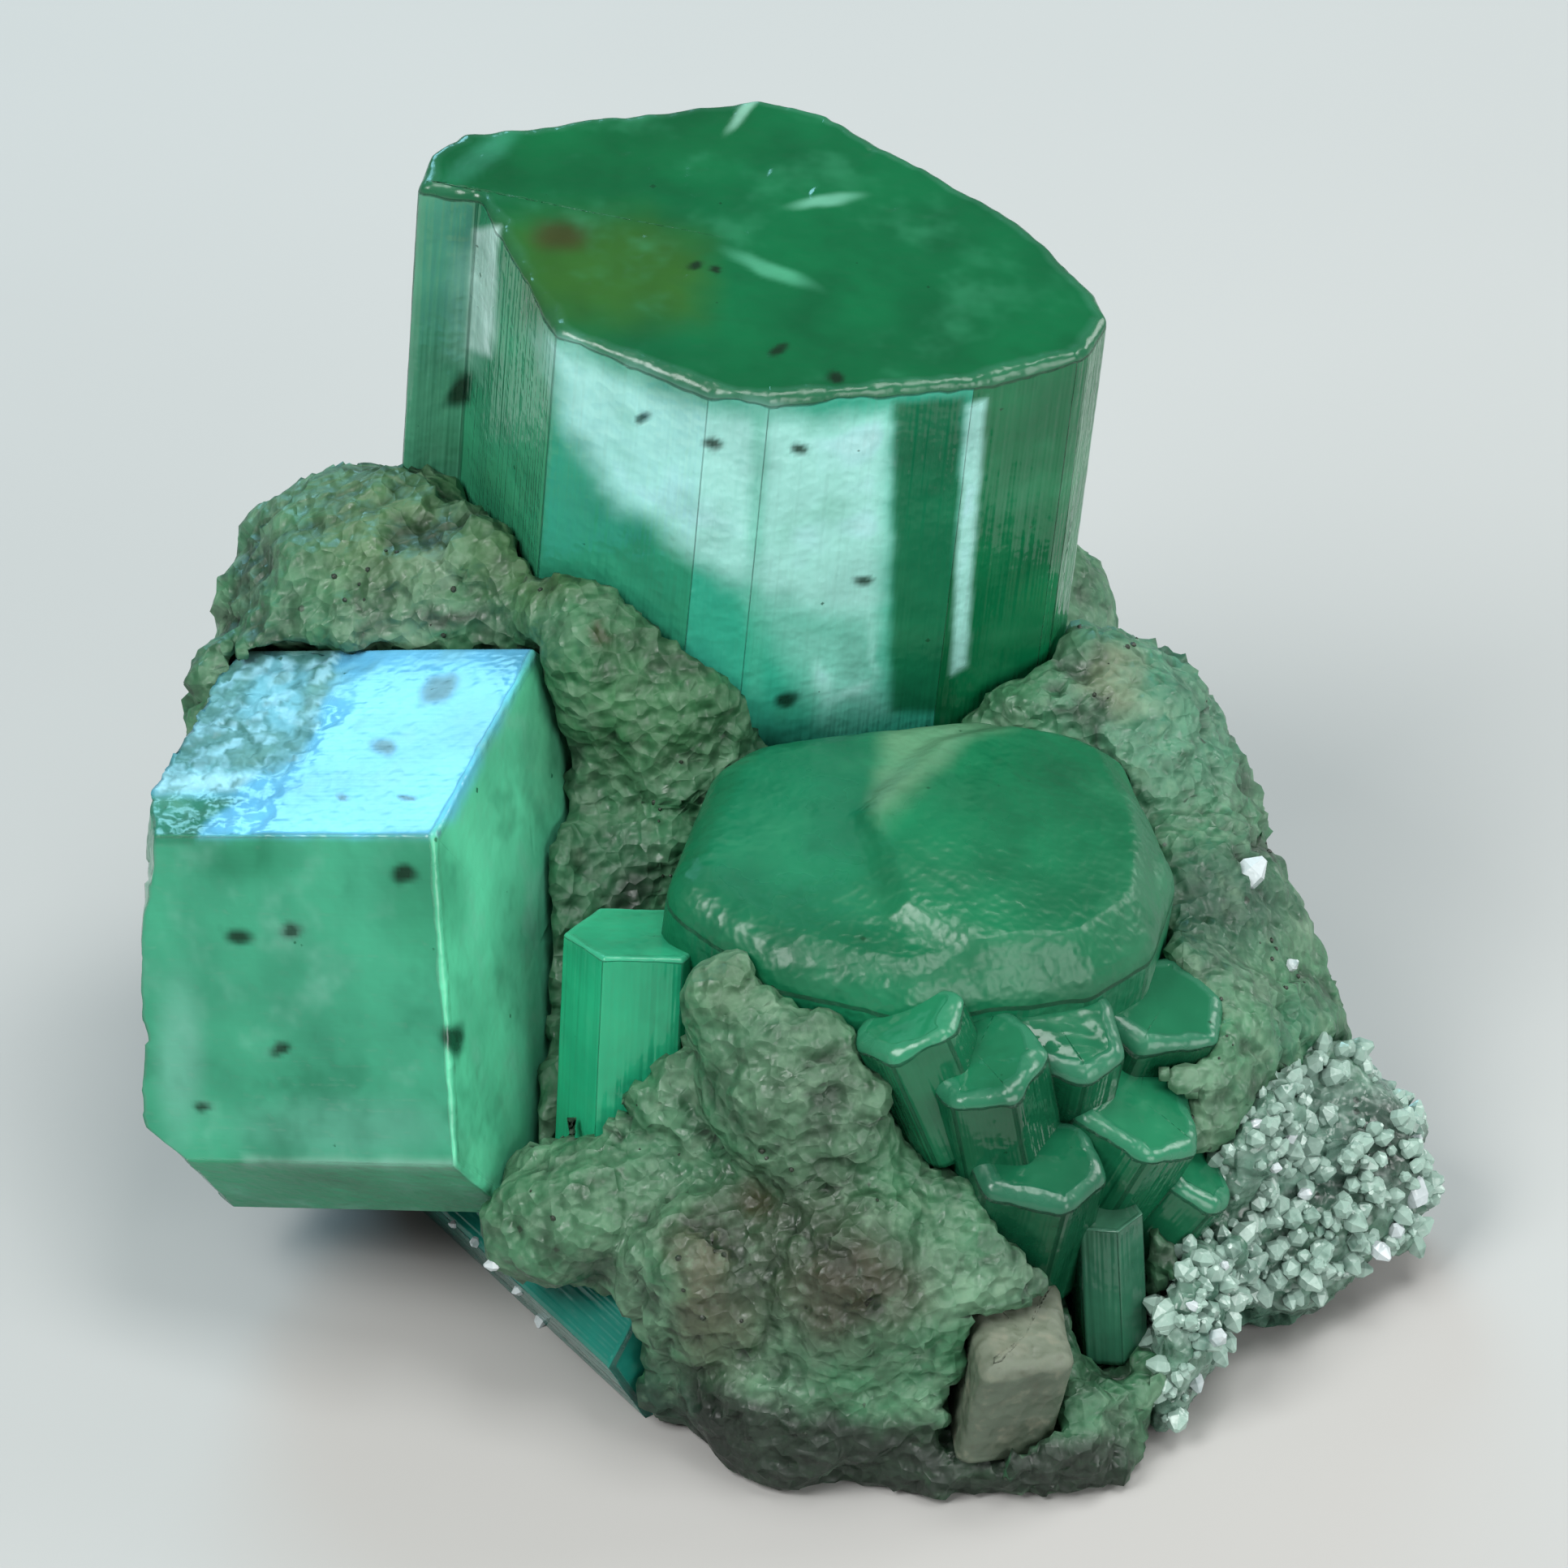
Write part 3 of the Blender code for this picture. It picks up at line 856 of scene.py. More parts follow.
def make_outline(sides: tuple[Pair, ...], fillet: float, spacing: float) -> Outline:
    """Cross-section from its side planes, with eased corners.

    Args:
        sides: Angle in degrees and distance in mm of each side, in order round the axis.
        fillet: Radius of the corners in mm.
        spacing: Distance between points in mm.

    Returns:
        The outline, anticlockwise.
    """
    ordered = list(sides)
    turns = [math.radians(angle) for angle, _ in ordered]
    swing = math.sin(turns[1] - turns[0])
    if swing < 0.0:
        ordered.reverse()
        turns.reverse()
    normals = [np.array((math.cos(turn), math.sin(turn))) for turn in turns]
    count = len(ordered)
    corners = []
    for number in range(count):
        after = (number + 1) % count
        pair = np.array((normals[number], normals[after]))
        corners.append(np.linalg.solve(pair, (ordered[number][1], ordered[after][1])))
    places, directions, owners = [], [], []
    for number in range(count):
        start, end = corners[number - 1], corners[number]
        span = np.linalg.norm(end - start)
        along = (end - start) / span
        after = (number + 1) % count
        before = turn_between(normals[number - 1], normals[number])
        ahead = turn_between(normals[number], normals[after])
        trim_start = min(fillet * math.tan(before / 2.0), span * LARGEST_TRIM)
        trim_end = min(fillet * math.tan(ahead / 2.0), span * LARGEST_TRIM)
        steps = max(1, round((span - trim_start - trim_end) / spacing))
        for step in range(steps + 1):
            reach = trim_start + (span - trim_start - trim_end) * step / steps
            places.append(start + along * reach)
            directions.append(normals[number])
            owners.append(number)
        next_side = corners[after] - end
        next_span = np.linalg.norm(next_side)
        next_trim = min(fillet * math.tan(ahead / 2.0), next_span * LARGEST_TRIM)
        first = end - along * trim_end
        last = end + next_side / next_span * next_trim
        for step in (1, 2, 3):
            part = step / 4.0
            bend = (1 - part) ** 2 * first + 2 * part * (1 - part) * end + part ** 2 * last
            facing = normals[number] * (1 - part) + normals[after] * part
            places.append(bend)
            directions.append(facing / np.linalg.norm(facing))
            owners.append(number if part < 0.5 else after)
    points = np.array(places)
    gaps = np.linalg.norm(np.roll(points, -1, axis=0) - points, axis=1)
    around = np.concatenate(((0.0,), np.cumsum(gaps)[:-1]))
    owner = np.array(owners)
    if swing < 0.0:
        owner = count - 1 - owner
    return Outline(points, np.array(directions), owner, around)


LARGEST_BEND = 8.0
BEND_SHARE = 0.35


class Place(Enum):
    """Part of a crystal on which a point lies."""

    SIDE = 0
    TOP = 1
    FOOT = 2
    EDGE = 3


@dataclass
class PrismCrystal:
    """A crystal as a column along its axis, its worn edges and faces in the mesh."""

    name: str
    seat: Triple
    lean: float
    nod: float
    sides: tuple[Pair, ...]
    length: float
    colour: Colour
    top_colour: Colour
    side_colours: dict[int, tuple[Colour, float]] = field(default_factory=dict)
    patches: tuple[Spot | Region, ...] = ()
    fillet: float = 0.22
    wear: float = 0.16
    wear_spread: float = 0.55
    spacing: float = 0.12
    rings: int = 80
    cap_rings: int = 36
    edge_rings: int = 4
    plain_foot_rings: int = 8
    broken_foot_rings: int = 22
    breaks: tuple[tuple[float, float, float, float], ...] = ()
    top_frost: float = 0.0
    rim_highlight_share: float = 0.03
    edge_frost: float = 0.4
    line_depth: float = 0.018
    step_depth: float = 0.05
    seed: int = 1

    def axes(self) -> np.ndarray:
        """Turn of the crystal.

        Returns:
            The crystal's own axes in the model, as columns.
        """
        lean, nod = math.radians(self.lean), math.radians(self.nod)
        axis = np.array((
            math.sin(lean) * math.cos(nod), math.cos(lean) * math.cos(nod), math.sin(nod),
        ))
        across = np.array((1.0, 0.0, 0.0)) - axis * axis[0]
        across /= np.linalg.norm(across)
        return VIEW.axes @ np.array((across, np.cross(axis, across), axis)).T

    def foot_height(self, flat: np.ndarray, noise: LatticeNoise) -> np.ndarray:
        """Height of the crystal's far end.

        Args:
            flat: Points of the cross-section, one row each.
            noise: The crystal's noise.

        Returns:
            Place along the axis for each point, in mm.
        """
        height = np.full(len(flat), -self.length)
        for x, y, z, distance in self.breaks:
            size = math.sqrt(x * x + y * y + z * z)
            height = np.maximum(height, (distance * size - x * flat[:, 0] - y * flat[:, 1]) / z)
        if self.breaks:
            spots = np.column_stack((flat, np.zeros(len(flat))))
            height = height + 0.16 * noise.layered(spots, 2.0) + 0.12 * noise.facets(spots, 1.5)[0]
        return height

    def top_relief(self, flat: np.ndarray, noise: LatticeNoise) -> np.ndarray:
        """Growth steps and dimples of the top face.

        Args:
            flat: Points of the cross-section, one row each.
            noise: The crystal's noise.

        Returns:
            Height over the plane of the face for each point, in mm.
        """
        spots = np.column_stack((flat, np.full(len(flat), self.seed * 3.7)))
        broad = noise.soft(spots, 4.5) * 2.2
        steps = np.floor(broad) + smooth_step(0.78, 1.0, broad - np.floor(broad))
        fine = noise.layered(spots, 0.9) * 0.25
        dimples = smooth_step(0.55, 0.9, noise.soft(spots, 0.55))
        return self.step_depth * (0.35 * steps + fine * 0.5 - 0.7 * dimples)

    def side_relief(self, around: np.ndarray, height: np.ndarray, side: np.ndarray,
                    noise: LatticeNoise) -> np.ndarray:
        """Growth lines on the side faces.

        Args:
            around: Distance round the cross-section, in mm.
            height: Place along the axis, in mm.
            side: Number of the side face.
            noise: The crystal's noise.

        Returns:
            Height over the plane of the face for each point, in mm.
        """
        lines = np.column_stack((around, height * 0.06, side * 5.3))
        drawn = noise.soft(lines, 0.8) + 0.6 * noise.soft(lines, 0.33)
        flaws = noise.layered(np.column_stack((around, height, side * 9.1)), 1.4)
        return self.line_depth * (drawn + 0.5 * flaws)

    def build_points(self) -> dict[str, np.ndarray]:
        """Points of the crystal in its own axes, with where each lies.

        Returns:
            Arrays of places, kinds, sides, and distance around and along.
        """
        noise = LatticeNoise(self.seed)
        outline = make_outline(self.sides, self.fillet, self.spacing)
        count = len(outline.points)
        spots = np.column_stack((outline.points, np.zeros(count)))
        wear = self.wear * (1.0 + self.wear_spread * noise.layered(spots, 1.3))
        wear = np.clip(wear, 0.25 * self.wear, min(self.fillet, 2.2 * self.wear))
        foot = self.foot_height(outline.points, noise)
        rows, kinds, heights, owners, arounds = [], [], [], [], []

        def add_ring(flat: np.ndarray, height: np.ndarray, kind: Place) -> None:
            """Add one closed row of points.

            Args:
                flat: Points of the row in the cross-section.
                height: Their places along the axis.
                kind: Part of the crystal.
            """
            rows.append(np.column_stack((flat, height)))
            kinds.append(np.full(count, kind.value))
            heights.append(height)
            owners.append(outline.side)
            arounds.append(outline.around)

        foot_rings = self.broken_foot_rings if self.breaks else self.plain_foot_rings
        for ring in range(foot_rings):
            flat = outline.points * ((ring + 0.5) / foot_rings)
            add_ring(flat, self.foot_height(flat, noise), Place.FOOT)
        for ring in range(self.rings + 1):
            share = ring / self.rings
            height = foot + (-wear - foot) * share
            depth = self.side_relief(outline.around, height, outline.side, noise)
            depth = depth * smooth_step(0.0, 0.6, -height)
            add_ring(outline.points + outline.normals * depth[:, None], height, Place.SIDE)
        for step in range(1, self.edge_rings + 1):
            turn = math.radians(90.0 * step / self.edge_rings)
            inset = wear * (1.0 - math.cos(turn))
            flat = outline.points - outline.normals * inset[:, None]
            lift = self.top_relief(flat, noise) * (step / self.edge_rings)
            add_ring(flat, -wear * (1.0 - math.sin(turn)) + lift, Place.EDGE)
        rim = outline.points - outline.normals * wear[:, None]
        for ring in range(1, self.cap_rings):
            flat = rim * (1.0 - ring / self.cap_rings)
            add_ring(flat, self.top_relief(flat, noise), Place.TOP)
        return {
            "points": np.concatenate(rows), "kind": np.concatenate(kinds),
            "side": np.concatenate(owners), "around": np.concatenate(arounds),
            "along": np.concatenate(heights), "count": np.array((count,)),
        }

    def build_faces(self, count: int, total: int) -> list[tuple[int, ...]]:
        """Quads between the rings and one face at each end.

        Args:
            count: Number of points in a ring.
            total: Number of points in all.

        Returns:
            Numbers of each face's points.
        """
        faces = []
        rings = total // count
        numbers = np.arange(count)
        following = (numbers + 1) % count
        for ring in range(rings - 1):
            low, high = ring * count, (ring + 1) * count
            quads = np.column_stack((low + numbers, low + following, high + following,
                                     high + numbers))
            faces.extend(map(tuple, quads.tolist()))
        last = (rings - 1) * count
        faces.append(tuple(reversed(range(count))))
        faces.append(tuple(range(last, last + count)))
        return faces

    def paint(self, data: dict[str, np.ndarray], model: np.ndarray,
              normals: np.ndarray) -> tuple[np.ndarray, np.ndarray]:
        """Colour and frost of each point.

        Args:
            data: What build_points made.
            model: The points in the model, in mm.
            normals: The mesh's normals.

        Returns:
            Linear colours and frost from 0 to 1.
        """
        noise = LatticeNoise(self.seed + 50)
        tint = np.tile(np.array(self.colour), (len(model), 1))
        frost = np.zeros(len(model))
        for side, (colour, amount) in self.side_colours.items():
            here = (data["side"] == side) & (data["kind"] == Place.SIDE.value)
            tint[here] = colour
            frost[here] = amount
        top = data["kind"] == Place.TOP.value
        tint[top] = self.top_colour
        frost[top] = self.top_frost
        edge = data["kind"] == Place.EDGE.value
        # Rims are mixed towards pale mint: a painted highlight.
        tint[edge] = ((1.0 - self.rim_highlight_share) * np.array(self.top_colour)
                      + self.rim_highlight_share * np.array(MINT_SHEEN_AND_CRACKLE))
        frost[edge] = self.edge_frost
        warp = noise.layered(model, 1.2)
        drift = noise.layered(model + 31.0, 1.2)
        across, down, _ = VIEW.project(model)
        facing = normals @ VIEW.axes[:, 2]
        front = smooth_step(-0.05, 0.12, facing)
        for patch in self.patches:
            bend = min(LARGEST_BEND, BEND_SHARE * patch.feather)
            share = (patch.weight(across + bend * warp, down + bend * drift) * front)[:, None]
            tint = tint * (1.0 - share) + np.array(patch.colour) * share
            frost = frost * (1.0 - share[:, 0]) + patch.frost * share[:, 0]
        depth = 1.0 + 0.22 * noise.layered(model + 7.0, 2.6)[:, None]
        return np.clip(tint * depth, 0.0, 1.0), np.clip(frost, 0.0, 1.0)

    def build(self) -> bpy.types.Mesh:
        """Make the crystal's mesh in the model, with its colours.

        Returns:
            The mesh.
        """
        data = self.build_points()
        points = data["points"]
        model = points @ self.axes().T + VIEW.point(*self.seat)
        mesh = new_mesh(self.name, model, self.build_faces(int(data["count"][0]), len(points)))
        tint, frost = self.paint(data, model, mesh_normals(mesh))
        write_values(mesh, "tint", tint)
        write_values(mesh, "frost", frost)
        lined = data["kind"] == Place.SIDE.value
        write_values(mesh, "around", np.where(lined, data["around"] + data["side"] * 3.1, 0.0))
        write_values(mesh, "along", np.where(lined, data["along"], 0.0))
        mesh = above_floor(mesh)
        mesh.shade_smooth()
        return mesh


def above_floor(mesh: bpy.types.Mesh) -> bpy.types.Mesh:
    """Cut a mesh level at the floor where it reaches below it.

    Args:
        mesh: A closed mesh.

    Returns:
        The same mesh, closed along the cut.
    """
    if mesh_points(mesh)[:, 2].min() > 0.0:
        return mesh
    solid = bmesh.new()
    solid.from_mesh(mesh)
    everything = solid.verts[:] + solid.edges[:] + solid.faces[:]
    cut = bmesh.ops.bisect_plane(
        solid, geom=everything, plane_co=(0.0, 0.0, 0.0), plane_no=(0.0, 0.0, -1.0),
        clear_outer=True,
    )
    rim = [edge for edge in cut["geom_cut"] if isinstance(edge, bmesh.types.BMEdge)]
    bmesh.ops.holes_fill(solid, edges=rim, sides=0)
    solid.to_mesh(mesh)
    solid.free()
    return mesh


class RightCrystal(PrismCrystal):
    """Wide low crystal whose top face carries one rounded growth terrace."""

    TERRACE = (
        (150.0, 1.9), (120.0, 3.3), (92.0, 4.9), (62.0, 6.1), (30.0, 6.1), (0.0, 5.6),
        (-40.0, 5.4), (-80.0, 4.6), (-120.0, 3.4), (-165.0, 1.9),
    )
    TERRACE_STEP = 0.4
    DOME = 0.75

    def top_relief(self, flat: np.ndarray, noise: LatticeNoise) -> np.ndarray:
        """Growth steps with the terrace and a low dome on them.

        Args:
            flat: Points of the cross-section, one row each.
            noise: The crystal's noise.

        Returns:
            Height over the plane of the face for each point, in mm.
        """
        inside = np.full(len(flat), 1e9)
        for angle, distance in self.TERRACE:
            turn = math.radians(angle)
            reach = flat[:, 0] * math.cos(turn) + flat[:, 1] * math.sin(turn)
            inside = np.minimum(inside, distance - reach)
        terrace = self.TERRACE_STEP * smooth_step(-0.35, 0.5, inside)
        dome = self.DOME * (1.0 - smooth_step(0.0, 7.0, np.hypot(flat[:, 0], flat[:, 1])))
        return super().top_relief(flat, noise) + terrace + dome


class LeftCrystal(PrismCrystal):
    """Lying crystal whose upper face is partly etched and carries a painted sky-blue reflection."""

    BRIGHT_SIDE = 0
    ETCH_LIMIT = -4.9
    ETCH_GRAIN = 0.42
    GLINT_PAINT = linear(160, 225, 245)
    HOLLOW_SHADE = linear(40, 104, 96)

    def paint(self, data: dict[str, np.ndarray], model: np.ndarray,
              normals: np.ndarray) -> tuple[np.ndarray, np.ndarray]:
        """Colour and frost, with painted glints and painted shade in the hollows of the etched part.

        Args:
            data: What build_points made.
            model: The points in the model, in mm.
            normals: The mesh's normals.

        Returns:
            Linear colours and frost from 0 to 1.
        """
        tint, frost = super().paint(data, model, normals)
        noise = LatticeNoise(self.seed + 7)
        height, share = noise.facets(model, self.ETCH_GRAIN)
        etched = (frost > 0.55) & (data["side"] == self.BRIGHT_SIDE)
        # Painted glints on some etched facets and painted shade in the low ones.
        bright = (etched * smooth_step(0.45, 0.95, share + 0.5 * noise.layered(model, 0.7)))[:, None]
        hollow_shade_share = (etched * smooth_step(0.0, -0.45, height))[:, None]
        tint = tint * (1.0 - 0.7 * bright) + 0.7 * bright * np.array(self.GLINT_PAINT)
        tint = tint * (1.0 - 0.6 * hollow_shade_share) + 0.6 * hollow_shade_share * np.array(self.HOLLOW_SHADE)
        return tint, frost

    def side_relief(self, around: np.ndarray, height: np.ndarray, side: np.ndarray,
                    noise: LatticeNoise) -> np.ndarray:
        """Growth lines, with rough etching over the far part of the bright face.

        Args:
            around: Distance round the cross-section, in mm.
            height: Place along the axis, in mm.
            side: Number of the side face.
            noise: The crystal's noise.

        Returns:
            Height over the plane of the face for each point, in mm.
        """
        depth = super().side_relief(around, height, side, noise)
        spots = np.column_stack((around, height, np.zeros(len(around))))
        etched = smooth_step(self.ETCH_LIMIT + 0.5, self.ETCH_LIMIT - 0.5,
                             height + 0.8 * noise.soft(spots, 1.4))
        rough = (0.09 * noise.facets(spots, self.ETCH_GRAIN)[0]
                 + 0.07 * noise.layered(spots, 0.8) - 0.09)
        return depth + np.where(side == self.BRIGHT_SIDE, etched * rough, 0.0)


# What repeats: grains, specks and beads


def grain_mesh(name: str, sides: int, waist: float, tip: float) -> bpy.types.Mesh:
    """A small pointed grain one unit wide that stands on z = 0.

    Args:
        name: Name of the mesh.
        sides: Number of sides.
        waist: Height at which the sides end.
        tip: Height of the point.

    Returns:
        The mesh.
    """
    rings = ((0.36, -0.25), (0.5, 0.0), (0.5, waist), (0.13, tip))
    points, faces = [], []
    for radius, height in rings:
        for number in range(sides):
            turn = 2.0 * math.pi * number / sides
            points.append((radius * math.cos(turn), radius * math.sin(turn), height))
    for ring in range(len(rings) - 1):
        for number in range(sides):
            after = (number + 1) % sides
            low, high = ring * sides, (ring + 1) * sides
            faces.append((low + number, low + after, high + after, high + number))
    faces.append(tuple(reversed(range(sides))))
    faces.append(tuple(range((len(rings) - 1) * sides, len(rings) * sides)))
    return new_mesh(name, np.array(points) / MM, faces)


class GrainTree(Enum):
    """Ways of placing grains."""

    SCATTERED = "Scattered grains"
    PLACED = "Placed grains"


@dataclass(frozen=True)
class GrainLayout:
    """Size, number and turn of the grains in one piece."""

    density: float = 1.0e6
    smallest: float = 0.2
    largest: float = 0.5
    tilt: float = 0.5
    seed: int = 1


class Grains:
    """Pieces made of many small grains by Geometry Nodes."""

    INPUTS = (
        ("Grain", "NodeSocketObject"), ("Density", "NodeSocketFloat"),
        ("Smallest", "NodeSocketFloat"), ("Largest", "NodeSocketFloat"),
        ("Tilt", "NodeSocketFloat"), ("Seed", "NodeSocketInt"), ("Material", "NodeSocketMaterial"),
    )
    LEFT_OVER = ("scatter", "up")

    def __init__(self) -> None:
        """Build both trees."""
        self.trees = {kind: self.build_tree(kind) for kind in GrainTree}

    def build_tree(self, kind: GrainTree) -> bpy.types.NodeTree:
        """Make one tree.

        Args:
            kind: Whether grains are scattered over faces or stand on given points.

        Returns:
            The tree.
        """
        tree = bpy.data.node_groups.new(kind.value, "GeometryNodeTree")
        tree.interface.new_socket("Geometry", in_out="INPUT", socket_type="NodeSocketGeometry")
        for name, socket_type in self.INPUTS:
            tree.interface.new_socket(name, in_out="INPUT", socket_type=socket_type)
        tree.interface.new_socket("Geometry", in_out="OUTPUT", socket_type="NodeSocketGeometry")
        given = tree.nodes.new("NodeGroupInput").outputs
        if kind is GrainTree.SCATTERED:
            share = add_node(tree, "GeometryNodeInputNamedAttribute", {"Name": "scatter"},
                             data_type="FLOAT").outputs["Attribute"]
            density = add_node(tree, "ShaderNodeMath", {0: share, 1: given["Density"]},
                               operation="MULTIPLY").outputs[0]
            spread = add_node(tree, "GeometryNodeDistributePointsOnFaces", {
                "Mesh": given["Geometry"], "Density": density, "Seed": given["Seed"],
            }, distribute_method="RANDOM")
            points, turned = spread.outputs["Points"], spread.outputs["Rotation"]
            size = add_node(tree, "FunctionNodeRandomValue", {
                2: given["Smallest"], 3: given["Largest"], "Seed": given["Seed"],
            }, data_type="FLOAT").outputs[1]
        else:
            points = given["Geometry"]
            up = add_node(tree, "GeometryNodeInputNamedAttribute", {"Name": "up"},
                          data_type="FLOAT_VECTOR").outputs["Attribute"]
            turned = add_node(tree, "FunctionNodeAlignRotationToVector", {"Vector": up},
                              axis="Z").outputs["Rotation"]
            size = add_node(tree, "GeometryNodeInputNamedAttribute", {"Name": "size"},
                            data_type="FLOAT").outputs["Attribute"]
        least = add_node(tree, "ShaderNodeMath", {0: given["Tilt"], 1: -1.0},
                         operation="MULTIPLY").outputs[0]
        low = add_node(tree, "ShaderNodeCombineXYZ", {0: least, 1: least, 2: 0.0}).outputs[0]
        high = add_node(tree, "ShaderNodeCombineXYZ", {
            0: given["Tilt"], 1: given["Tilt"], 2: 6.2832,
        }).outputs[0]
        lean = add_node(tree, "FunctionNodeRandomValue", {
            0: low, 1: high, "Seed": given["Seed"],
        }, data_type="FLOAT_VECTOR").outputs[0]
        lean_turn = add_node(tree, "FunctionNodeEulerToRotation", {0: lean}).outputs[0]
        rotation = add_node(tree, "FunctionNodeRotateRotation", {
            "Rotation": turned, "Rotate By": lean_turn,
        }, rotation_space="LOCAL").outputs[0]
        grain = add_node(tree, "GeometryNodeObjectInfo", {"Object": given["Grain"]},
                         transform_space="ORIGINAL").outputs["Geometry"]
        placed = add_node(tree, "GeometryNodeInstanceOnPoints", {
            "Points": points, "Instance": grain, "Rotation": rotation, "Scale": size,
        }).outputs[0]
        real = add_node(tree, "GeometryNodeRealizeInstances", {"Geometry": placed}).outputs[0]
        dressed = add_node(tree, "GeometryNodeSetMaterial", {
            "Geometry": real, "Material": given["Material"],
        }).outputs[0]
        add_node(tree, "NodeGroupOutput", {0: dressed})
        return tree

    def make(self, name: str, ground: bpy.types.Mesh, kind: GrainTree, layout: GrainLayout,
             grain: bpy.types.Mesh, material: bpy.types.Material) -> bpy.types.Object:
        """Make one piece of grains.

        Args:
            name: Name of the piece.
            ground: Mesh with the scatter attribute, or points with size and up.
            kind: The way of placing.
            layout: Sizes in mm and number a square metre.
            grain: Mesh of one grain, one unit wide.
            material: Finish of the grains.

        Returns:
            The piece as a plain mesh.
        """
        model = bpy.data.objects.new("one_grain", grain)
        bpy.context.scene.collection.objects.link(model)
        base = add_piece("ground", ground)
        step = base.modifiers.new("Grains", "NODES")
        tree = self.trees[kind]
        step.node_group = tree
        sockets = {
            item.name: item.identifier for item in tree.interface.items_tree
            if item.in_out == "INPUT"
        }
        step[sockets["Grain"]] = model
        step[sockets["Density"]] = layout.density
        step[sockets["Smallest"]] = layout.smallest * MM
        step[sockets["Largest"]] = layout.largest * MM
        step[sockets["Tilt"]] = layout.tilt
        step[sockets["Seed"]] = layout.seed
        step[sockets["Material"]] = material
        bpy.context.view_layer.update()
        evaluated = base.evaluated_get(bpy.context.evaluated_depsgraph_get())
        mesh = bpy.data.meshes.new_from_object(evaluated)
        mesh.name = name
        base.modifiers.clear()
        bpy.data.objects.remove(base)
        bpy.data.objects.remove(model)
        for layer in [item.name for item in mesh.attributes if item.name in self.LEFT_OVER]:
            mesh.attributes.remove(mesh.attributes[layer])
        return add_piece(name, mesh)


@dataclass(frozen=True)
class Speck:
    """One small thing on a face, placed in the picture frame."""

    across: float
    down: float
    size: float


def find_on(targets: list[bpy.types.Object], specks: tuple[Speck, ...],
            sink: float) -> bpy.types.Mesh:
    """Points on the nearest surface behind each place in the picture frame.

    Args:
        targets: Pieces that may carry the specks.
        specks: Places and sizes.
        sink: How deep a speck sits, as a share of its size.

    Returns:
        Mesh of loose points with their size and upward direction.
    """
    trees = []
    for item in targets:
        trees.append(BVHTree.FromPolygons(
            [vertex.co for vertex in item.data.vertices],
            [face.vertices for face in item.data.polygons],
        ))
    places, ups, sizes = [], [], []
    for speck in specks:
        eye, sight = VIEW.ray(speck.across, speck.down)
        hits = [tree.ray_cast(eye, sight) for tree in trees]
        hits = [hit for hit in hits if hit[0] is not None]
        if not hits:
            continue
        place, normal, _, _ = min(hits, key=lambda hit: hit[3])
        places.append(place / MM - normal * speck.size * sink)
        ups.append(normal)
        sizes.append(speck.size * MM)
    mesh = new_mesh("speck_places", np.array([tuple(place) for place in places]), [])
    layer = mesh.attributes.new("up", "FLOAT_VECTOR", "POINT")
    layer.data.foreach_set("vector", np.array(ups, dtype=np.float32).ravel())
    write_values(mesh, "size", np.array(sizes))
    return mesh


# Rock


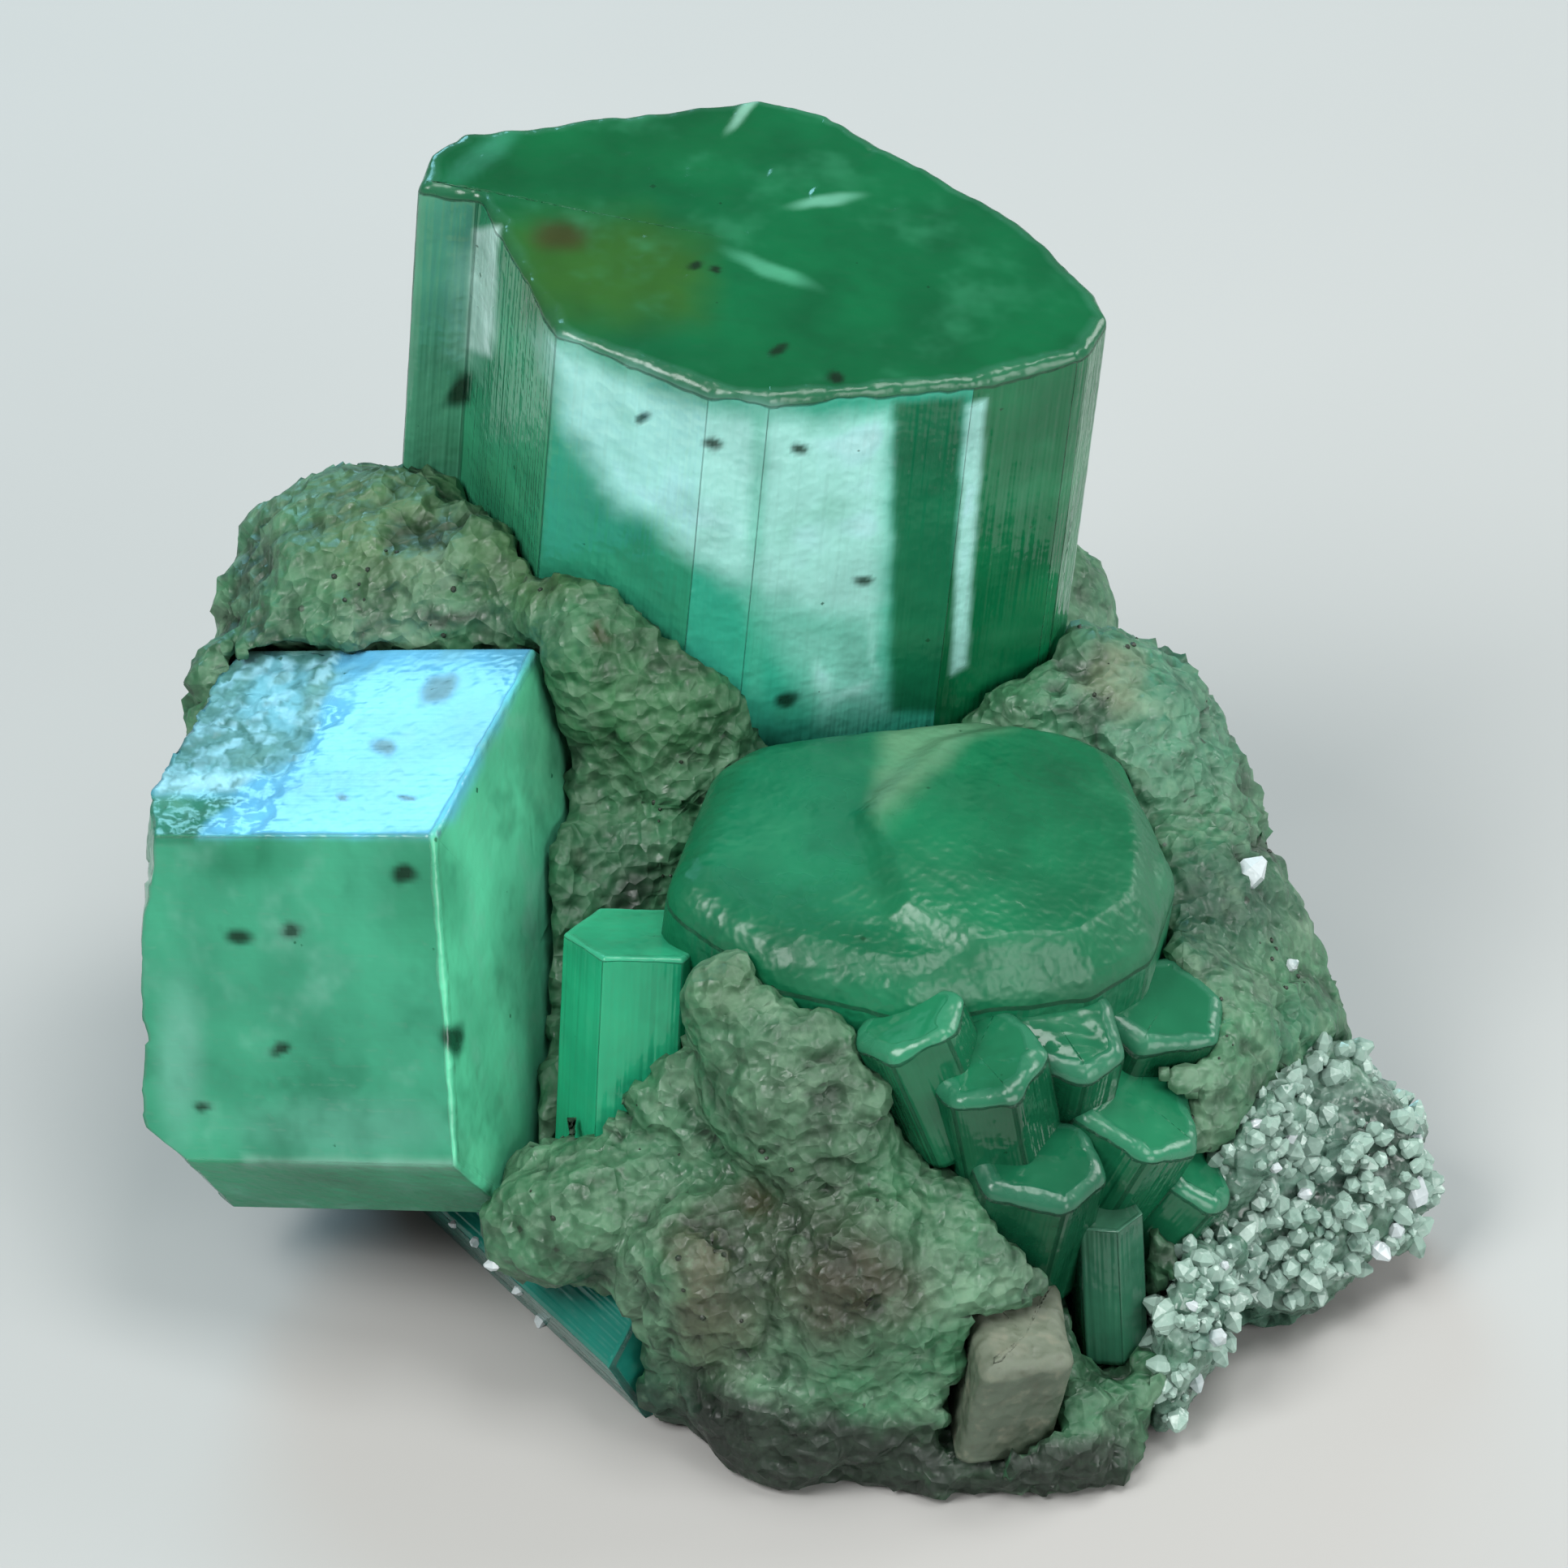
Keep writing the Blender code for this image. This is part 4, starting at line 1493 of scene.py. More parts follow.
@dataclass
class RockPiece:
    """Calcite or druse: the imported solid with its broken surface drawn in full."""

    name: str
    node: str
    colour: Colour
    pale: Colour
    hollow_shade_colour: Colour
    patches: tuple[Spot | Region, ...]
    voxel: float = 0.24
    swell: float = 0.17
    broad: float = 0.2
    facet: float = 0.3
    facet_size: float = 1.1
    fine: float = 0.06
    seed: int = 7

    def base_mesh(self) -> bpy.types.Mesh:
        """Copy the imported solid's surface and give it even small faces.

        Returns:
            The mesh, merged and closed.
        """
        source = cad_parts[self.node]
        mesh = source.data.copy()
        mesh.transform(source.matrix_world)
        solid = bmesh.new()
        solid.from_mesh(mesh)
        bmesh.ops.remove_doubles(solid, verts=solid.verts[:], dist=0.002 * MM)
        solid.to_mesh(mesh)
        solid.free()
        mesh.materials.clear()
        item = add_piece("rock_base", mesh)
        melt = item.modifiers.new("Even faces", "REMESH")
        melt.mode = "VOXEL"
        melt.voxel_size = self.voxel * MM
        ease = item.modifiers.new("Ease", "SMOOTH")
        ease.iterations = 3
        bpy.context.view_layer.update()
        evaluated = item.evaluated_get(bpy.context.evaluated_depsgraph_get())
        result = bpy.data.meshes.new_from_object(evaluated)
        result.name = self.name
        item.modifiers.clear()
        bpy.data.objects.remove(item)
        return result

    def build(self) -> bpy.types.Mesh:
        """Roughen and colour the rock.

        Returns:
            The mesh.
        """
        noise = LatticeNoise(self.seed)
        mesh = self.base_mesh()
        points = mesh_points(mesh)
        normals = mesh_normals(mesh)
        broad = noise.layered(points, 2.2)
        facets, share = noise.facets(points, self.facet_size)
        small, small_share = noise.facets(points + 13.0, self.facet_size * 0.42)
        fine = noise.layered(points, 0.5)
        rugged = smooth_step(-0.25, 0.35, noise.soft(points + 40.0, 3.6))
        depth = self.broad * broad + self.facet * facets * (0.4 + 0.8 * rugged)
        depth += self.facet * 0.45 * small * (0.3 + 0.7 * rugged) + self.fine * fine
        resting = smooth_step(0.0, 0.35, points[:, 2])
        moved = points + normals * ((self.swell + depth) * resting)[:, None]
        moved[:, 2] = np.maximum(moved[:, 2], 0.0)
        set_points(mesh, moved)
        self.paint(mesh, moved, depth, rugged, share, small_share)
        mesh.shade_smooth()
        return mesh

    def paint(self, mesh: bpy.types.Mesh, points: np.ndarray, depth: np.ndarray,
              rugged: np.ndarray, share: np.ndarray, small_share: np.ndarray) -> None:
        """Write the rock's colours: paler in random patches and on some faces, with painted shade in
        the hollows.

        Args:
            mesh: The rock's mesh.
            points: Its points in mm.
            depth: Height of the broken surface at each point, in mm.
            rugged: Share of broken surface at each point.
            share: Random share of the large cleavage face.
            small_share: Random share of the small one.
        """
        noise = LatticeNoise(self.seed + 90)
        normals = mesh_normals(mesh)
        tint = np.tile(np.array(self.colour), (len(points), 1))

        def blend(colour: Colour, amount: np.ndarray) -> None:
            """Lay one colour over the rock.

            Args:
                colour: The colour.
                amount: Its strength at each point.
            """
            nonlocal tint
            tint = tint * (1.0 - amount[:, None]) + np.array(colour) * amount[:, None]

        blend(self.pale, 0.55 * smooth_step(-0.1, 0.5, noise.layered(points, 3.0)))
        blend(self.pale, 0.4 * (share > 0.7) * rugged + 0.35 * (small_share > 0.75))
        across, down, _ = VIEW.project(points)
        warp = 16.0 * noise.layered(points, 1.6)
        drift = 16.0 * noise.layered(points + 31.0, 1.6)
        front = smooth_step(-0.1, 0.15, normals @ VIEW.axes[:, 2])
        frost = np.zeros(len(points))
        for patch in self.patches:
            weight = patch.weight(across + warp, down + drift) * front
            blend(patch.colour, weight)
            frost = frost * (1.0 - weight) + patch.frost * weight
        # Painted shade: darker where the broken surface dips.
        blend(self.hollow_shade_colour, 0.75 * smooth_step(-0.03, -0.26, depth))
        tint *= (1.0 + 0.25 * noise.layered(points + 70.0, 0.8))[:, None]
        write_values(mesh, "tint", np.clip(tint, 0.0, 1.0))
        write_values(mesh, "frost", np.clip(frost, 0.0, 1.0))


# Studio


@dataclass(frozen=True)
class Lamp:
    """One softbox, aimed at the specimen."""

    name: str
    place: Triple
    size: Pair
    power: float
    colour: Colour = (1.0, 1.0, 1.0)

    def light(self) -> None:
        """Put the softbox in the scene."""
        lamp = bpy.data.lights.new(self.name, "AREA")
        lamp.shape = "RECTANGLE"
        lamp.size, lamp.size_y = self.size
        lamp.energy = self.power
        lamp.color = self.colour
        item = bpy.data.objects.new(self.name, lamp)
        bpy.context.scene.collection.objects.link(item)
        place = Vector(self.place)
        target = Vector((0.0, 0.0, 0.012))
        turn = (place - target).to_track_quat("Z", "Y").to_matrix().to_4x4()
        item.matrix_world = Matrix.Translation(place) @ turn


@dataclass(frozen=True)
class Studio:
    """Plain pale floor, soft lamps and an even surround."""

    floor_size: float = 3.0
    floor_colour: Colour = linear(178, 178, 175)
    surround: Colour = (1.0, 1.0, 1.0)
    surround_strength: float = 0.18
    lamps: tuple[Lamp, ...] = (
        Lamp("key", (-0.26, -0.22, 0.4), (0.24, 0.24), 2.2),
        Lamp("overhead", (0.12, -0.02, 0.5), (0.26, 0.2), 1.15),
        Lamp("left_back", (-0.114, 0.318, 0.215), (0.16, 0.16), 0.62, (0.36, 0.8, 1.0)),
        Lamp("right_back", (0.34, 0.16, 0.2), (0.16, 0.2), 0.7),
        Lamp("fill", (0.3, -0.34, 0.17), (0.3, 0.3), 1.35),
    )

    def build(self) -> None:
        """Put the floor, lamps and surround in the scene."""
        half = self.floor_size / 2.0
        mesh = bpy.data.meshes.new("floor")
        mesh.from_pydata(
            [(-half, -half, 0.0), (half, -half, 0.0), (half, half, 0.0), (-half, half, 0.0)],
            [], [(0, 1, 2, 3)],
        )
        floor = add_piece("floor", mesh)
        material, tree, shader = new_material("Pale floor")
        place = add_node(tree, "ShaderNodeTexCoord").outputs["Object"]
        mottle = add_node(tree, "ShaderNodeTexNoise", {
            "Vector": place, "Scale": 60.0, "Detail": 4.0,
        }).outputs["Fac"]
        shade = tuple(channel * 0.96 for channel in self.floor_colour)
        colour = mixed(tree, mottle, rgba(self.floor_colour), rgba(shade))
        tree.links.new(colour, shader.inputs["Base Color"])
        shader.inputs["Roughness"].default_value = 0.75
        mesh.materials.append(material)
        for lamp in self.lamps:
            lamp.light()
        world = bpy.data.worlds.new("surround")
        bpy.context.scene.world = world
        world.use_nodes = True
        background = world.node_tree.nodes["Background"]
        background.inputs[0].default_value = rgba(self.surround)
        background.inputs[1].default_value = self.surround_strength


# The specimen


def hexagon(width: float, turn: float, uneven: float, seed: int) -> tuple[Pair, ...]:
    """Side planes of a six-sided crystal, grown a little unevenly."""
    shares = np.random.default_rng(seed).uniform(-uneven, uneven, 6)
    return tuple(
        (turn - 60.0 * side, width / 2.0 * (1.0 + share)) for side, share in enumerate(shares)
    )


EMERALD_MID = linear(17, 115, 75)
EMERALD_DEEP = linear(6, 66, 37)
# Pale mint: painted reflection and highlight on the main crystal's front faces, streak and rims, and
# the pale crackle near the foot of those faces.
MINT_SHEEN_AND_CRACKLE = linear(188, 255, 246)
# Sky blue: painted reflection on the left crystal's upper face.
CYAN_REFLECTION = linear(110, 200, 250)
OLIVE = linear(46, 92, 34)
BROWN = linear(59, 53, 30)
# Near black: painted shade in the rock's crevices and along its foot.
SHADE_BLACK = linear(12, 26, 16)
STAIN = linear(16, 38, 24)

STAINS = tuple(
    Spot(STAIN, 0.92, place, (size, size * 0.6), turn, frost=0.1, edge=0.6, feather=22.0)
    for place, size, turn in (
        ((565, 480), 26.0, 60.0), ((855, 325), 13.0, 0.0), ((880, 330), 8.0, 0.0),
        ((960, 435), 12.0, 20.0), ((1025, 465), 13.0, 0.0), ((795, 515), 12.0, 40.0),
        ((880, 545), 14.0, 0.0), ((985, 555), 13.0, 10.0), ((1065, 715), 13.0, 0.0),
        ((970, 860), 17.0, 20.0), ((540, 850), 26.0, 30.0), ((495, 1080), 22.0, 0.0),
        ((360, 1145), 18.0, 0.0), ((295, 1155), 22.0, 0.0), ((345, 1290), 16.0, 20.0),
        ((250, 1360), 12.0, 0.0), ((560, 1280), 24.0, 70.0), ((470, 920), 20.0, 0.0),
        ((425, 985), 10.0, 0.0), ((500, 985), 9.0, 0.0), ((1270, 850), 18.0, 0.0),
        ((1390, 905), 16.0, 40.0),
    )
)


def main_crystal() -> PrismCrystal:
    """The large upright crystal with its set-back shoulder.

    Returns:
        The crystal.
    """
    return PrismCrystal(
        name="main_crystal", seat=(-0.76, 14.11, 0.0), lean=6.0, nod=43.0, length=12.9,
        sides=(
            (105.4, 5.86), (141.5, 8.53), (164.9, 9.0), (-98.0, -0.28), (-158.4, 6.21),
            (-117.0, 5.86), (-97.0, 6.09), (-78.0, 6.14), (-64.0, 7.05), (-43.0, 8.7),
            (-22.5, 9.35), (14.8, 8.34), (34.7, 6.7), (52.0, 5.62), (74.7, 5.93),
        ),
        colour=EMERALD_MID, top_colour=linear(8, 98, 57), top_frost=0.02,
        side_colours={
            2: (linear(50, 119, 88), 0.3), 3: (linear(84, 165, 130), 0.1),
            # Sides 5, 6 and 7 are pale mint: painted reflection of the light on the front faces.
            4: (linear(58, 156, 114), 0.12), 5: (linear(54, 162, 126), 0.2),
            6: (linear(62, 186, 156), 0.2), 7: (linear(60, 184, 154), 0.2),
            8: (linear(12, 120, 74), 0.0), 9: (linear(12, 120, 74), 0.0),
            # Side 11's pale stripe is painted reflection.
            10: (linear(22, 125, 77), 0.05), 11: (linear(99, 126, 101), 0.3),
        },
        patches=(
            Region(OLIVE, 0.9, ((620, 275), (700, 262), (800, 268), (870, 305), (862, 390),
                                (760, 402), (650, 385)), 38.0),
            Spot(BROWN, 0.75, (690, 290), (40, 24)),
            Region(linear(10, 94, 52), 0.5, ((560, 160), (900, 108), (940, 180), (760, 250),
                                             (580, 260)), 40.0),
            Spot(linear(60, 150, 116), 0.6, (595, 192), (60, 18), 38.0, 0.3),
            Spot(linear(160, 220, 196), 0.6, (918, 137), (36, 7), 48.0, 0.4),
            Spot(linear(130, 205, 176), 0.5, (1017, 248), (48, 8), 6.0, 0.4),
            Spot(linear(96, 190, 150), 0.5, (950, 332), (64, 10), -22.0, 0.4),
            # Painted reflection: pale mint over the front faces, a paler line in it and a fading
            # lower part; the small pale spots below it are crackle.
            Region(MINT_SHEEN_AND_CRACKLE, 0.97, ((672, 420), (860, 500), (1000, 520), (1098, 514), (1092, 690),
                                (1080, 770), (960, 740), (860, 690), (745, 600), (700, 530)),
                   26.0, 0.22),
            Region(linear(90, 200, 170), 0.5, ((925, 505), (945, 505), (940, 860), (920, 860)),
                   9.0, 0.3),
            Region(MINT_SHEEN_AND_CRACKLE, 0.45, ((935, 745), (1088, 770), (1085, 875), (1010, 880)), 34.0, 0.4),
            Spot(MINT_SHEEN_AND_CRACKLE, 0.6, (945, 700), (24, 30), 0.0, 0.3, 0.9, 22.0),
            Spot(MINT_SHEEN_AND_CRACKLE, 0.6, (1012, 838), (12, 30), 20.0, 0.3, 0.9, 22.0),
            Spot(MINT_SHEEN_AND_CRACKLE, 0.6, (1052, 848), (30, 9), 30.0, 0.3, 0.9, 22.0),
            Spot(MINT_SHEEN_AND_CRACKLE, 0.5, (1078, 800), (8, 34), 8.0, 0.3, 0.9, 22.0),
            # Painted highlight: a white streak down the left edge, with a pale glow beside it.
            Region(linear(215, 255, 246), 1.0, ((583, 284), (614, 280), (606, 440), (576, 430)), 7.0,
                   0.3),
            Region(linear(140, 200, 178), 0.55, ((556, 300), (600, 290), (594, 470), (552, 440)),
                   16.0, 0.5),
            Region(linear(17, 104, 63), 0.9, ((1102, 495), (1188, 490), (1172, 880), (1096, 880)),
                   8.0),
            # Painted highlight: a bright streak down the edge between the dark faces.
            Region(MINT_SHEEN_AND_CRACKLE, 0.95, ((1190, 500), (1214, 492), (1190, 820), (1172, 830)), 6.0, 0.6),
        ) + STAINS,
        fillet=0.42, wear=0.3, spacing=0.11, rings=100, cap_rings=44, edge_rings=6, seed=11,
    )


def left_crystal() -> PrismCrystal:
    """The lying crystal with the etched face, which carries a painted sky-blue reflection.

    Returns:
        The crystal.
    """
    return LeftCrystal(
        name="left_crystal", seat=(-6.45, -4.27, -1.69), lean=90.0, nod=23.5, length=8.85,
        sides=(
            (128.7, 6.22), (68.7, 7.3), (38.7, 6.9), (8.7, 5.6), (-21.3, 4.2), (-51.3, 4.6),
            (-111.3, 6.95), (-171.3, 5.67),
        ),
        breaks=((-0.62, 0.70, -0.35, 9.35), (-0.55, 0.10, -0.83, 10.35),
                (-0.35, -0.75, -0.56, 10.25)),
        line_depth=0.007,
        # The end face's light green is lifted well above the sides' colour: painted light on a face
        # that lies in shade.
        colour=linear(55, 145, 110), top_colour=linear(98, 212, 166),
        # Side 0's pale blue is painted reflection.
        side_colours={0: (linear(85, 167, 186), 0.3), 6: (linear(44, 150, 108), 0.9),
                      7: (linear(64, 155, 121), 0.12)},
        patches=(
            # Painted reflection: sky blue over the upper face.
            Region(CYAN_REFLECTION, 0.75, ((245, 1030), (530, 1028), (560, 1010), (660, 795), (420, 795),
                                (360, 900)), 10.0, 0.2),
            Region(linear(84, 140, 134), 0.85, ((205, 950), (330, 955), (380, 930), (420, 800),
                                                (400, 745), (300, 760), (230, 860)), 14.0, 1.0),
            Region(linear(110, 185, 205), 0.8, ((290, 880), (330, 800), (385, 830), (360, 905)),
                   8.0, 0.8),
            Region(linear(170, 232, 246), 0.85, ((190, 952), (318, 955), (290, 974), (195, 978)), 7.0,
                   0.8),
            Region(linear(48, 130, 100), 0.9, ((180, 982), (300, 984), (252, 1014), (238, 1040),
                                               (180, 1040)), 5.0, 0.3),
            Spot(linear(40, 124, 90), 0.6, (300, 1062), (70, 34)),
            Spot(linear(44, 128, 92), 0.5, (520, 1110), (60, 90)),
            Spot(linear(120, 186, 166), 0.5, (222, 1300), (34, 110)),
            Spot(linear(110, 180, 158), 0.45, (420, 1390), (150, 44)),
            Spot(linear(80, 110, 66), 0.35, (700, 900), (70, 110)),
            Region(linear(135, 186, 167), 0.5, ((300, 1424), (560, 1430), (560, 1442),
                                                (300, 1436)), 6.0, 0.3),
        ) + STAINS,
        fillet=0.2, wear=0.14, spacing=0.11, rings=78, cap_rings=36, seed=23, rim_highlight_share=0.0,
        edge_frost=0.7,
    )


def right_crystal() -> PrismCrystal:
    """The wide low crystal in front of the main one.

    Returns:
        The crystal.
    """
    return RightCrystal(
        name="right_crystal", seat=(3.9, -1.67, 1.0), lean=8.0, nod=40.0, length=7.4,
        sides=(
            (106.0, 5.3), (76.0, 6.1), (46.0, 7.0), (16.0, 6.35), (-14.0, 6.25), (-44.0, 6.0),
            (-74.0, 5.3), (-104.0, 5.75), (-134.0, 6.4), (166.0, 6.3), (136.0, 6.2),
        ),
        colour=linear(12, 112, 72), top_colour=linear(9, 106, 68),
        patches=(
            Region(linear(24, 118, 82), 0.6, ((840, 900), (1080, 890), (1060, 1130),
                                              (860, 1150)), 40.0, 0.35),
            Region(linear(110, 160, 124), 0.75, ((1100, 860), (1290, 845), (1300, 872),
                                                 (1200, 905), (1085, 1018), (1072, 985)), 18.0,
                   0.6),
            Region(linear(30, 132, 88), 0.5, ((1072, 1010), (1200, 920), (1216, 940),
                                              (1092, 1035)), 14.0, 0.35),
            Spot(linear(30, 128, 86), 0.5, (1210, 1060), (150, 90), 20.0, 0.35),
            Spot(linear(30, 130, 90), 0.5, (1080, 1260), (210, 60), 0.0, 0.5),
        ) + STAINS,
        side_colours={side: (linear(12, 112, 74), 0.8) for side in range(11)},
        fillet=1.5, wear=1.05, wear_spread=0.1, spacing=0.13, rings=44, cap_rings=52,
        edge_rings=12, seed=37, top_frost=0.55, step_depth=0.02, line_depth=0.004,
        rim_highlight_share=0.0, edge_frost=0.7,
    )


@dataclass(frozen=True)
class SmallCrystal:
    """Place and size of one small six-sided crystal."""

    seat: Triple
    lean: float
    nod: float
    width: float
    length: float
    turn: float
    ring_height: float = 0.16

    def mesh(self, name: str, colour: Colour, top_colour: Colour, seed: int,
             uneven: float = 0.04, wear: float = 0.1) -> bpy.types.Mesh:
        """Make the crystal's mesh.

        Args:
            name: Name of the mesh.
            colour: Colour of the sides.
            top_colour: Colour of the top face.
            seed: Seed of its uneven growth.
            uneven: Share by which its sides differ in distance.
            wear: Width of the worn edge in mm.

        Returns:
            The mesh.
        """
        return PrismCrystal(
            name=name, seat=self.seat, lean=self.lean, nod=self.nod,
            sides=hexagon(self.width, self.turn, uneven, seed), length=self.length,
            colour=colour, top_colour=top_colour, fillet=wear * 1.4, wear=wear, spacing=0.12,
            rings=int(self.length / self.ring_height), cap_rings=14, edge_rings=6, seed=seed,
            line_depth=0.022, step_depth=0.06,
        ).build()


LOWER_LEFT = SmallCrystal((-8.5, -8.0, -8.9), -50.5, -42.0, 5.8, 12.4, 33.0)
CENTRE = SmallCrystal((-3.7, -3.9, 1.4), 3.0, 22.0, 3.5, 7.0, 34.0)
SMALL_PRISM = SmallCrystal((8.35, -11.1, 2.3), -4.0, 34.0, 1.75, 4.4, 18.0)
CLUSTER = (
    SmallCrystal((6.9, -9.9, 4.1), 12.0, 48.0, 3.2, 4.6, 20.0),
    SmallCrystal((9.3, -8.2, 2.1), 30.0, 38.0, 3.5, 5.2, 5.0),
    SmallCrystal((5.0, -7.0, 4.8), -12.0, 44.0, 3.1, 4.4, 31.0),
    SmallCrystal((7.1, -6.2, 3.6), 10.0, 52.0, 3.2, 4.4, 12.0),
    SmallCrystal((3.2, -6.2, 5.2), -24.0, 36.0, 2.6, 4.0, 44.0),
    SmallCrystal((10.8, -10.0, 0.8), 40.0, 30.0, 2.5, 4.6, 26.0),
    SmallCrystal((9.9, -5.8, 1.2), 22.0, 44.0, 3.1, 4.6, 50.0),
)
CLUSTER_SEED = 60


def joined(name: str, meshes: list[bpy.types.Mesh]) -> bpy.types.Mesh:
    """Join meshes, with their attributes.

    Args:
        name: Name of the new mesh.
        meshes: The meshes.

    Returns:
        One mesh.
    """
    solid = bmesh.new()
    for mesh in meshes:
        solid.from_mesh(mesh)
    result = bpy.data.meshes.new(name)
    solid.to_mesh(result)
    solid.free()
    return result


# Bright grains placed where the crust and the lower-left crystal sparkle. Their near-white colour is
# partly painted glint.
GLINT_BEADS = tuple(Speck(*values) for values in (
    (1740, 1470, 0.95), (1740, 1400, 0.55), (1720, 1515, 0.5), (1700, 1540, 0.5),
    (1685, 1600, 0.6), (1500, 1650, 0.5), (1530, 1690, 0.45), (1475, 1700, 0.45),
    (1540, 1080, 0.8), (1555, 920, 0.3), (1590, 1190, 0.35), (430, 560, 0.35), (585, 1530, 0.3),
    (610, 1560, 0.36), (640, 1590, 0.3), (625, 1622, 0.26), (665, 1625, 0.34), (650, 1655, 0.24),
    (690, 1660, 0.3), (600, 1590, 0.22), (715, 1690, 0.24), (560, 1510, 0.22), (1590, 1400, 0.4),
    (1570, 1440, 0.3), (1610, 1470, 0.34), (1545, 1385, 0.3), (1470, 1610, 0.3),
    (1510, 1560, 0.26),
))


@dataclass
class Specimen:
    """All pieces of the specimen."""

    effects: SharedEffects = field(default_factory=SharedEffects)
    pieces: dict[str, bpy.types.Object] = field(default_factory=dict)

    def finish_piece(self, name: str, mesh: bpy.types.Mesh, material: bpy.types.Material,
                     node: str | None) -> bpy.types.Object:
        """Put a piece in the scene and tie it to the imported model.

        Args:
            name: Name of the piece.
            mesh: Its mesh.
            material: Its finish.
            node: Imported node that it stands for, or None.

        Returns:
            The piece.
        """
        item = add_piece(name, mesh)
        mesh.materials.clear()
        mesh.materials.append(material)
        return self.tie(item, node)

    def tie(self, item: bpy.types.Object, node: str | None) -> bpy.types.Object:
        """Ride on the body and replace the node.

        Args:
            item: The piece.
            node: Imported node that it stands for, or None.

        Returns:
            The piece.
        """
        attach(item, BODY)
        if node is not None:
            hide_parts(node)
        self.pieces[item.name] = item
        LOG.info("%s: %d faces", item.name, len(item.data.polygons))
        return item

    def build_crystals(self) -> None:
        """Make the large and the small crystals."""
        emerald = EmeraldFinish(
            "Emerald", light=linear(66, 160, 116), dark=EMERALD_DEEP, transmission=0.2,
        )
        pale = EmeraldFinish(
            "Pale emerald", light=linear(135, 195, 176), dark=linear(15, 83, 55),
            transmission=0.18, clouding=0.4, density=260.0, line_height=0.012,
        )
        teal = EmeraldFinish(
            "Teal emerald", light=linear(53, 126, 117), dark=linear(4, 35, 28),
            transmission=0.25, density=500.0,
        )
        green = emerald.material(self.effects)
        light_green = pale.material(self.effects)
        dark_green = teal.material(self.effects)
        self.finish_piece("main_crystal_finish", main_crystal().build(), green,
                          "main_crystal")
        self.finish_piece("left_crystal_finish", left_crystal().build(), light_green,
                          "left_crystal")
        self.finish_piece("right_crystal_finish", right_crystal().build(), green,
                          "right_crystal")
        lower = LOWER_LEFT.mesh("lower_left", linear(30, 128, 112), linear(34, 136, 118), 41)
        self.finish_piece("lower_left_finish", lower, dark_green,
                          "lower_left_crystal")
        centre = CENTRE.mesh("centre", linear(38, 172, 124), linear(56, 180, 134), 43)
        self.finish_piece("centre_finish", centre, green, "centre_crystal")
        prism = SMALL_PRISM.mesh("small_prism", linear(56, 120, 92), linear(74, 136, 106), 47)
        self.finish_piece("small_prism_finish", prism, dark_green, "small_prism")
        members = []
        for number, crystal in enumerate(CLUSTER):
            shade = 0.8 * (0.72 + 0.09 * (number * 5 % 7))
            members.append(crystal.mesh(
                f"cluster_{number}", tuple(shade * v for v in linear(26, 104, 70)),
                tuple(shade * v for v in linear(34, 128, 88)), CLUSTER_SEED + number,
                uneven=0.18, wear=0.38,
            ))
        self.finish_piece("cluster_finish", joined("cluster", members), green,
                          "emerald_cluster")

    def build_rock(self) -> None:
        """Make the calcite matrix, the pink block and the druse crust."""
        calcite = StoneFinish(
            "Green calcite", light=linear(114, 146, 119), dark=linear(37, 68, 44),
            fleck=linear(24, 37, 24),
        ).material(self.effects)
        matrix = RockPiece(
            name="calcite_matrix", node="calcite_matrix", colour=linear(54, 108, 74),
            pale=linear(94, 132, 104), hollow_shade_colour=linear(15, 37, 22), patches=(
                Spot(linear(75, 108, 68), 0.8, (470, 640), (130, 110)),
                Spot(linear(68, 106, 64), 0.8, (650, 690), (110, 70)),
                Spot(linear(50, 101, 61), 0.85, (795, 865), (140, 150)),
                # The near-black spots in this list are painted shade in crevices and gaps.
                Spot(SHADE_BLACK, 0.85, (560, 762), (58, 13), -4.0),
                Spot(SHADE_BLACK, 0.85, (775, 1110), (34, 76), -20.0),
                Spot(SHADE_BLACK, 0.8, (770, 660), (38, 42)),
                Spot(BROWN, 0.8, (745, 790), (22, 16)),
                Spot(linear(60, 116, 90), 0.8, (1450, 870), (160, 160)),
                Spot(linear(101, 112, 86), 0.8, (1365, 835), (42, 50)),
                Spot(linear(16, 72, 50), 0.85, (1515, 1110), (105, 95)),
                Spot(linear(46, 110, 79), 0.8, (1600, 1270), (48, 64)),
                Spot(linear(72, 104, 75), 0.7, (900, 1210), (60, 52)),
                Spot(linear(66, 100, 74), 0.85, (1000, 1340), (130, 116)),
                Spot(linear(44, 56, 38), 0.85, (980, 1540), (180, 130)),
                Spot(linear(64, 104, 75), 0.7, (715, 1490), (120, 72)),
                Spot(linear(84, 84, 66), 0.75, (860, 1560), (46, 88)),
                Spot(BROWN, 0.7, (930, 1480), (32, 30)),
                Spot(linear(44, 40, 22), 0.85, (1056, 1590), (90, 76)),
                Spot(linear(60, 60, 42), 0.7, (890, 1640), (60, 80)),
                Spot(SHADE_BLACK, 0.8, (1175, 1420), (15, 62)),
                # Painted shadow: dark over the rock's foot below the left crystals and along the
                # bottom.
                Region(linear(12, 44, 34), 0.85, ((560, 1560), (700, 1600), (820, 1690),
                                                  (900, 1740), (900, 1850), (700, 1780),
                                                  (560, 1640)), 26.0),
                Region(SHADE_BLACK, 0.95, ((850, 1690), (1000, 1738), (1180, 1756), (1400, 1770),
                                        (1400, 1860), (850, 1860)), 22.0),
                Spot(linear(30, 66, 46), 0.7, (1330, 1560), (110, 190)),
            ),
        )
        self.finish_piece("calcite_matrix_finish", matrix.build(), calcite,
                          "calcite_matrix")
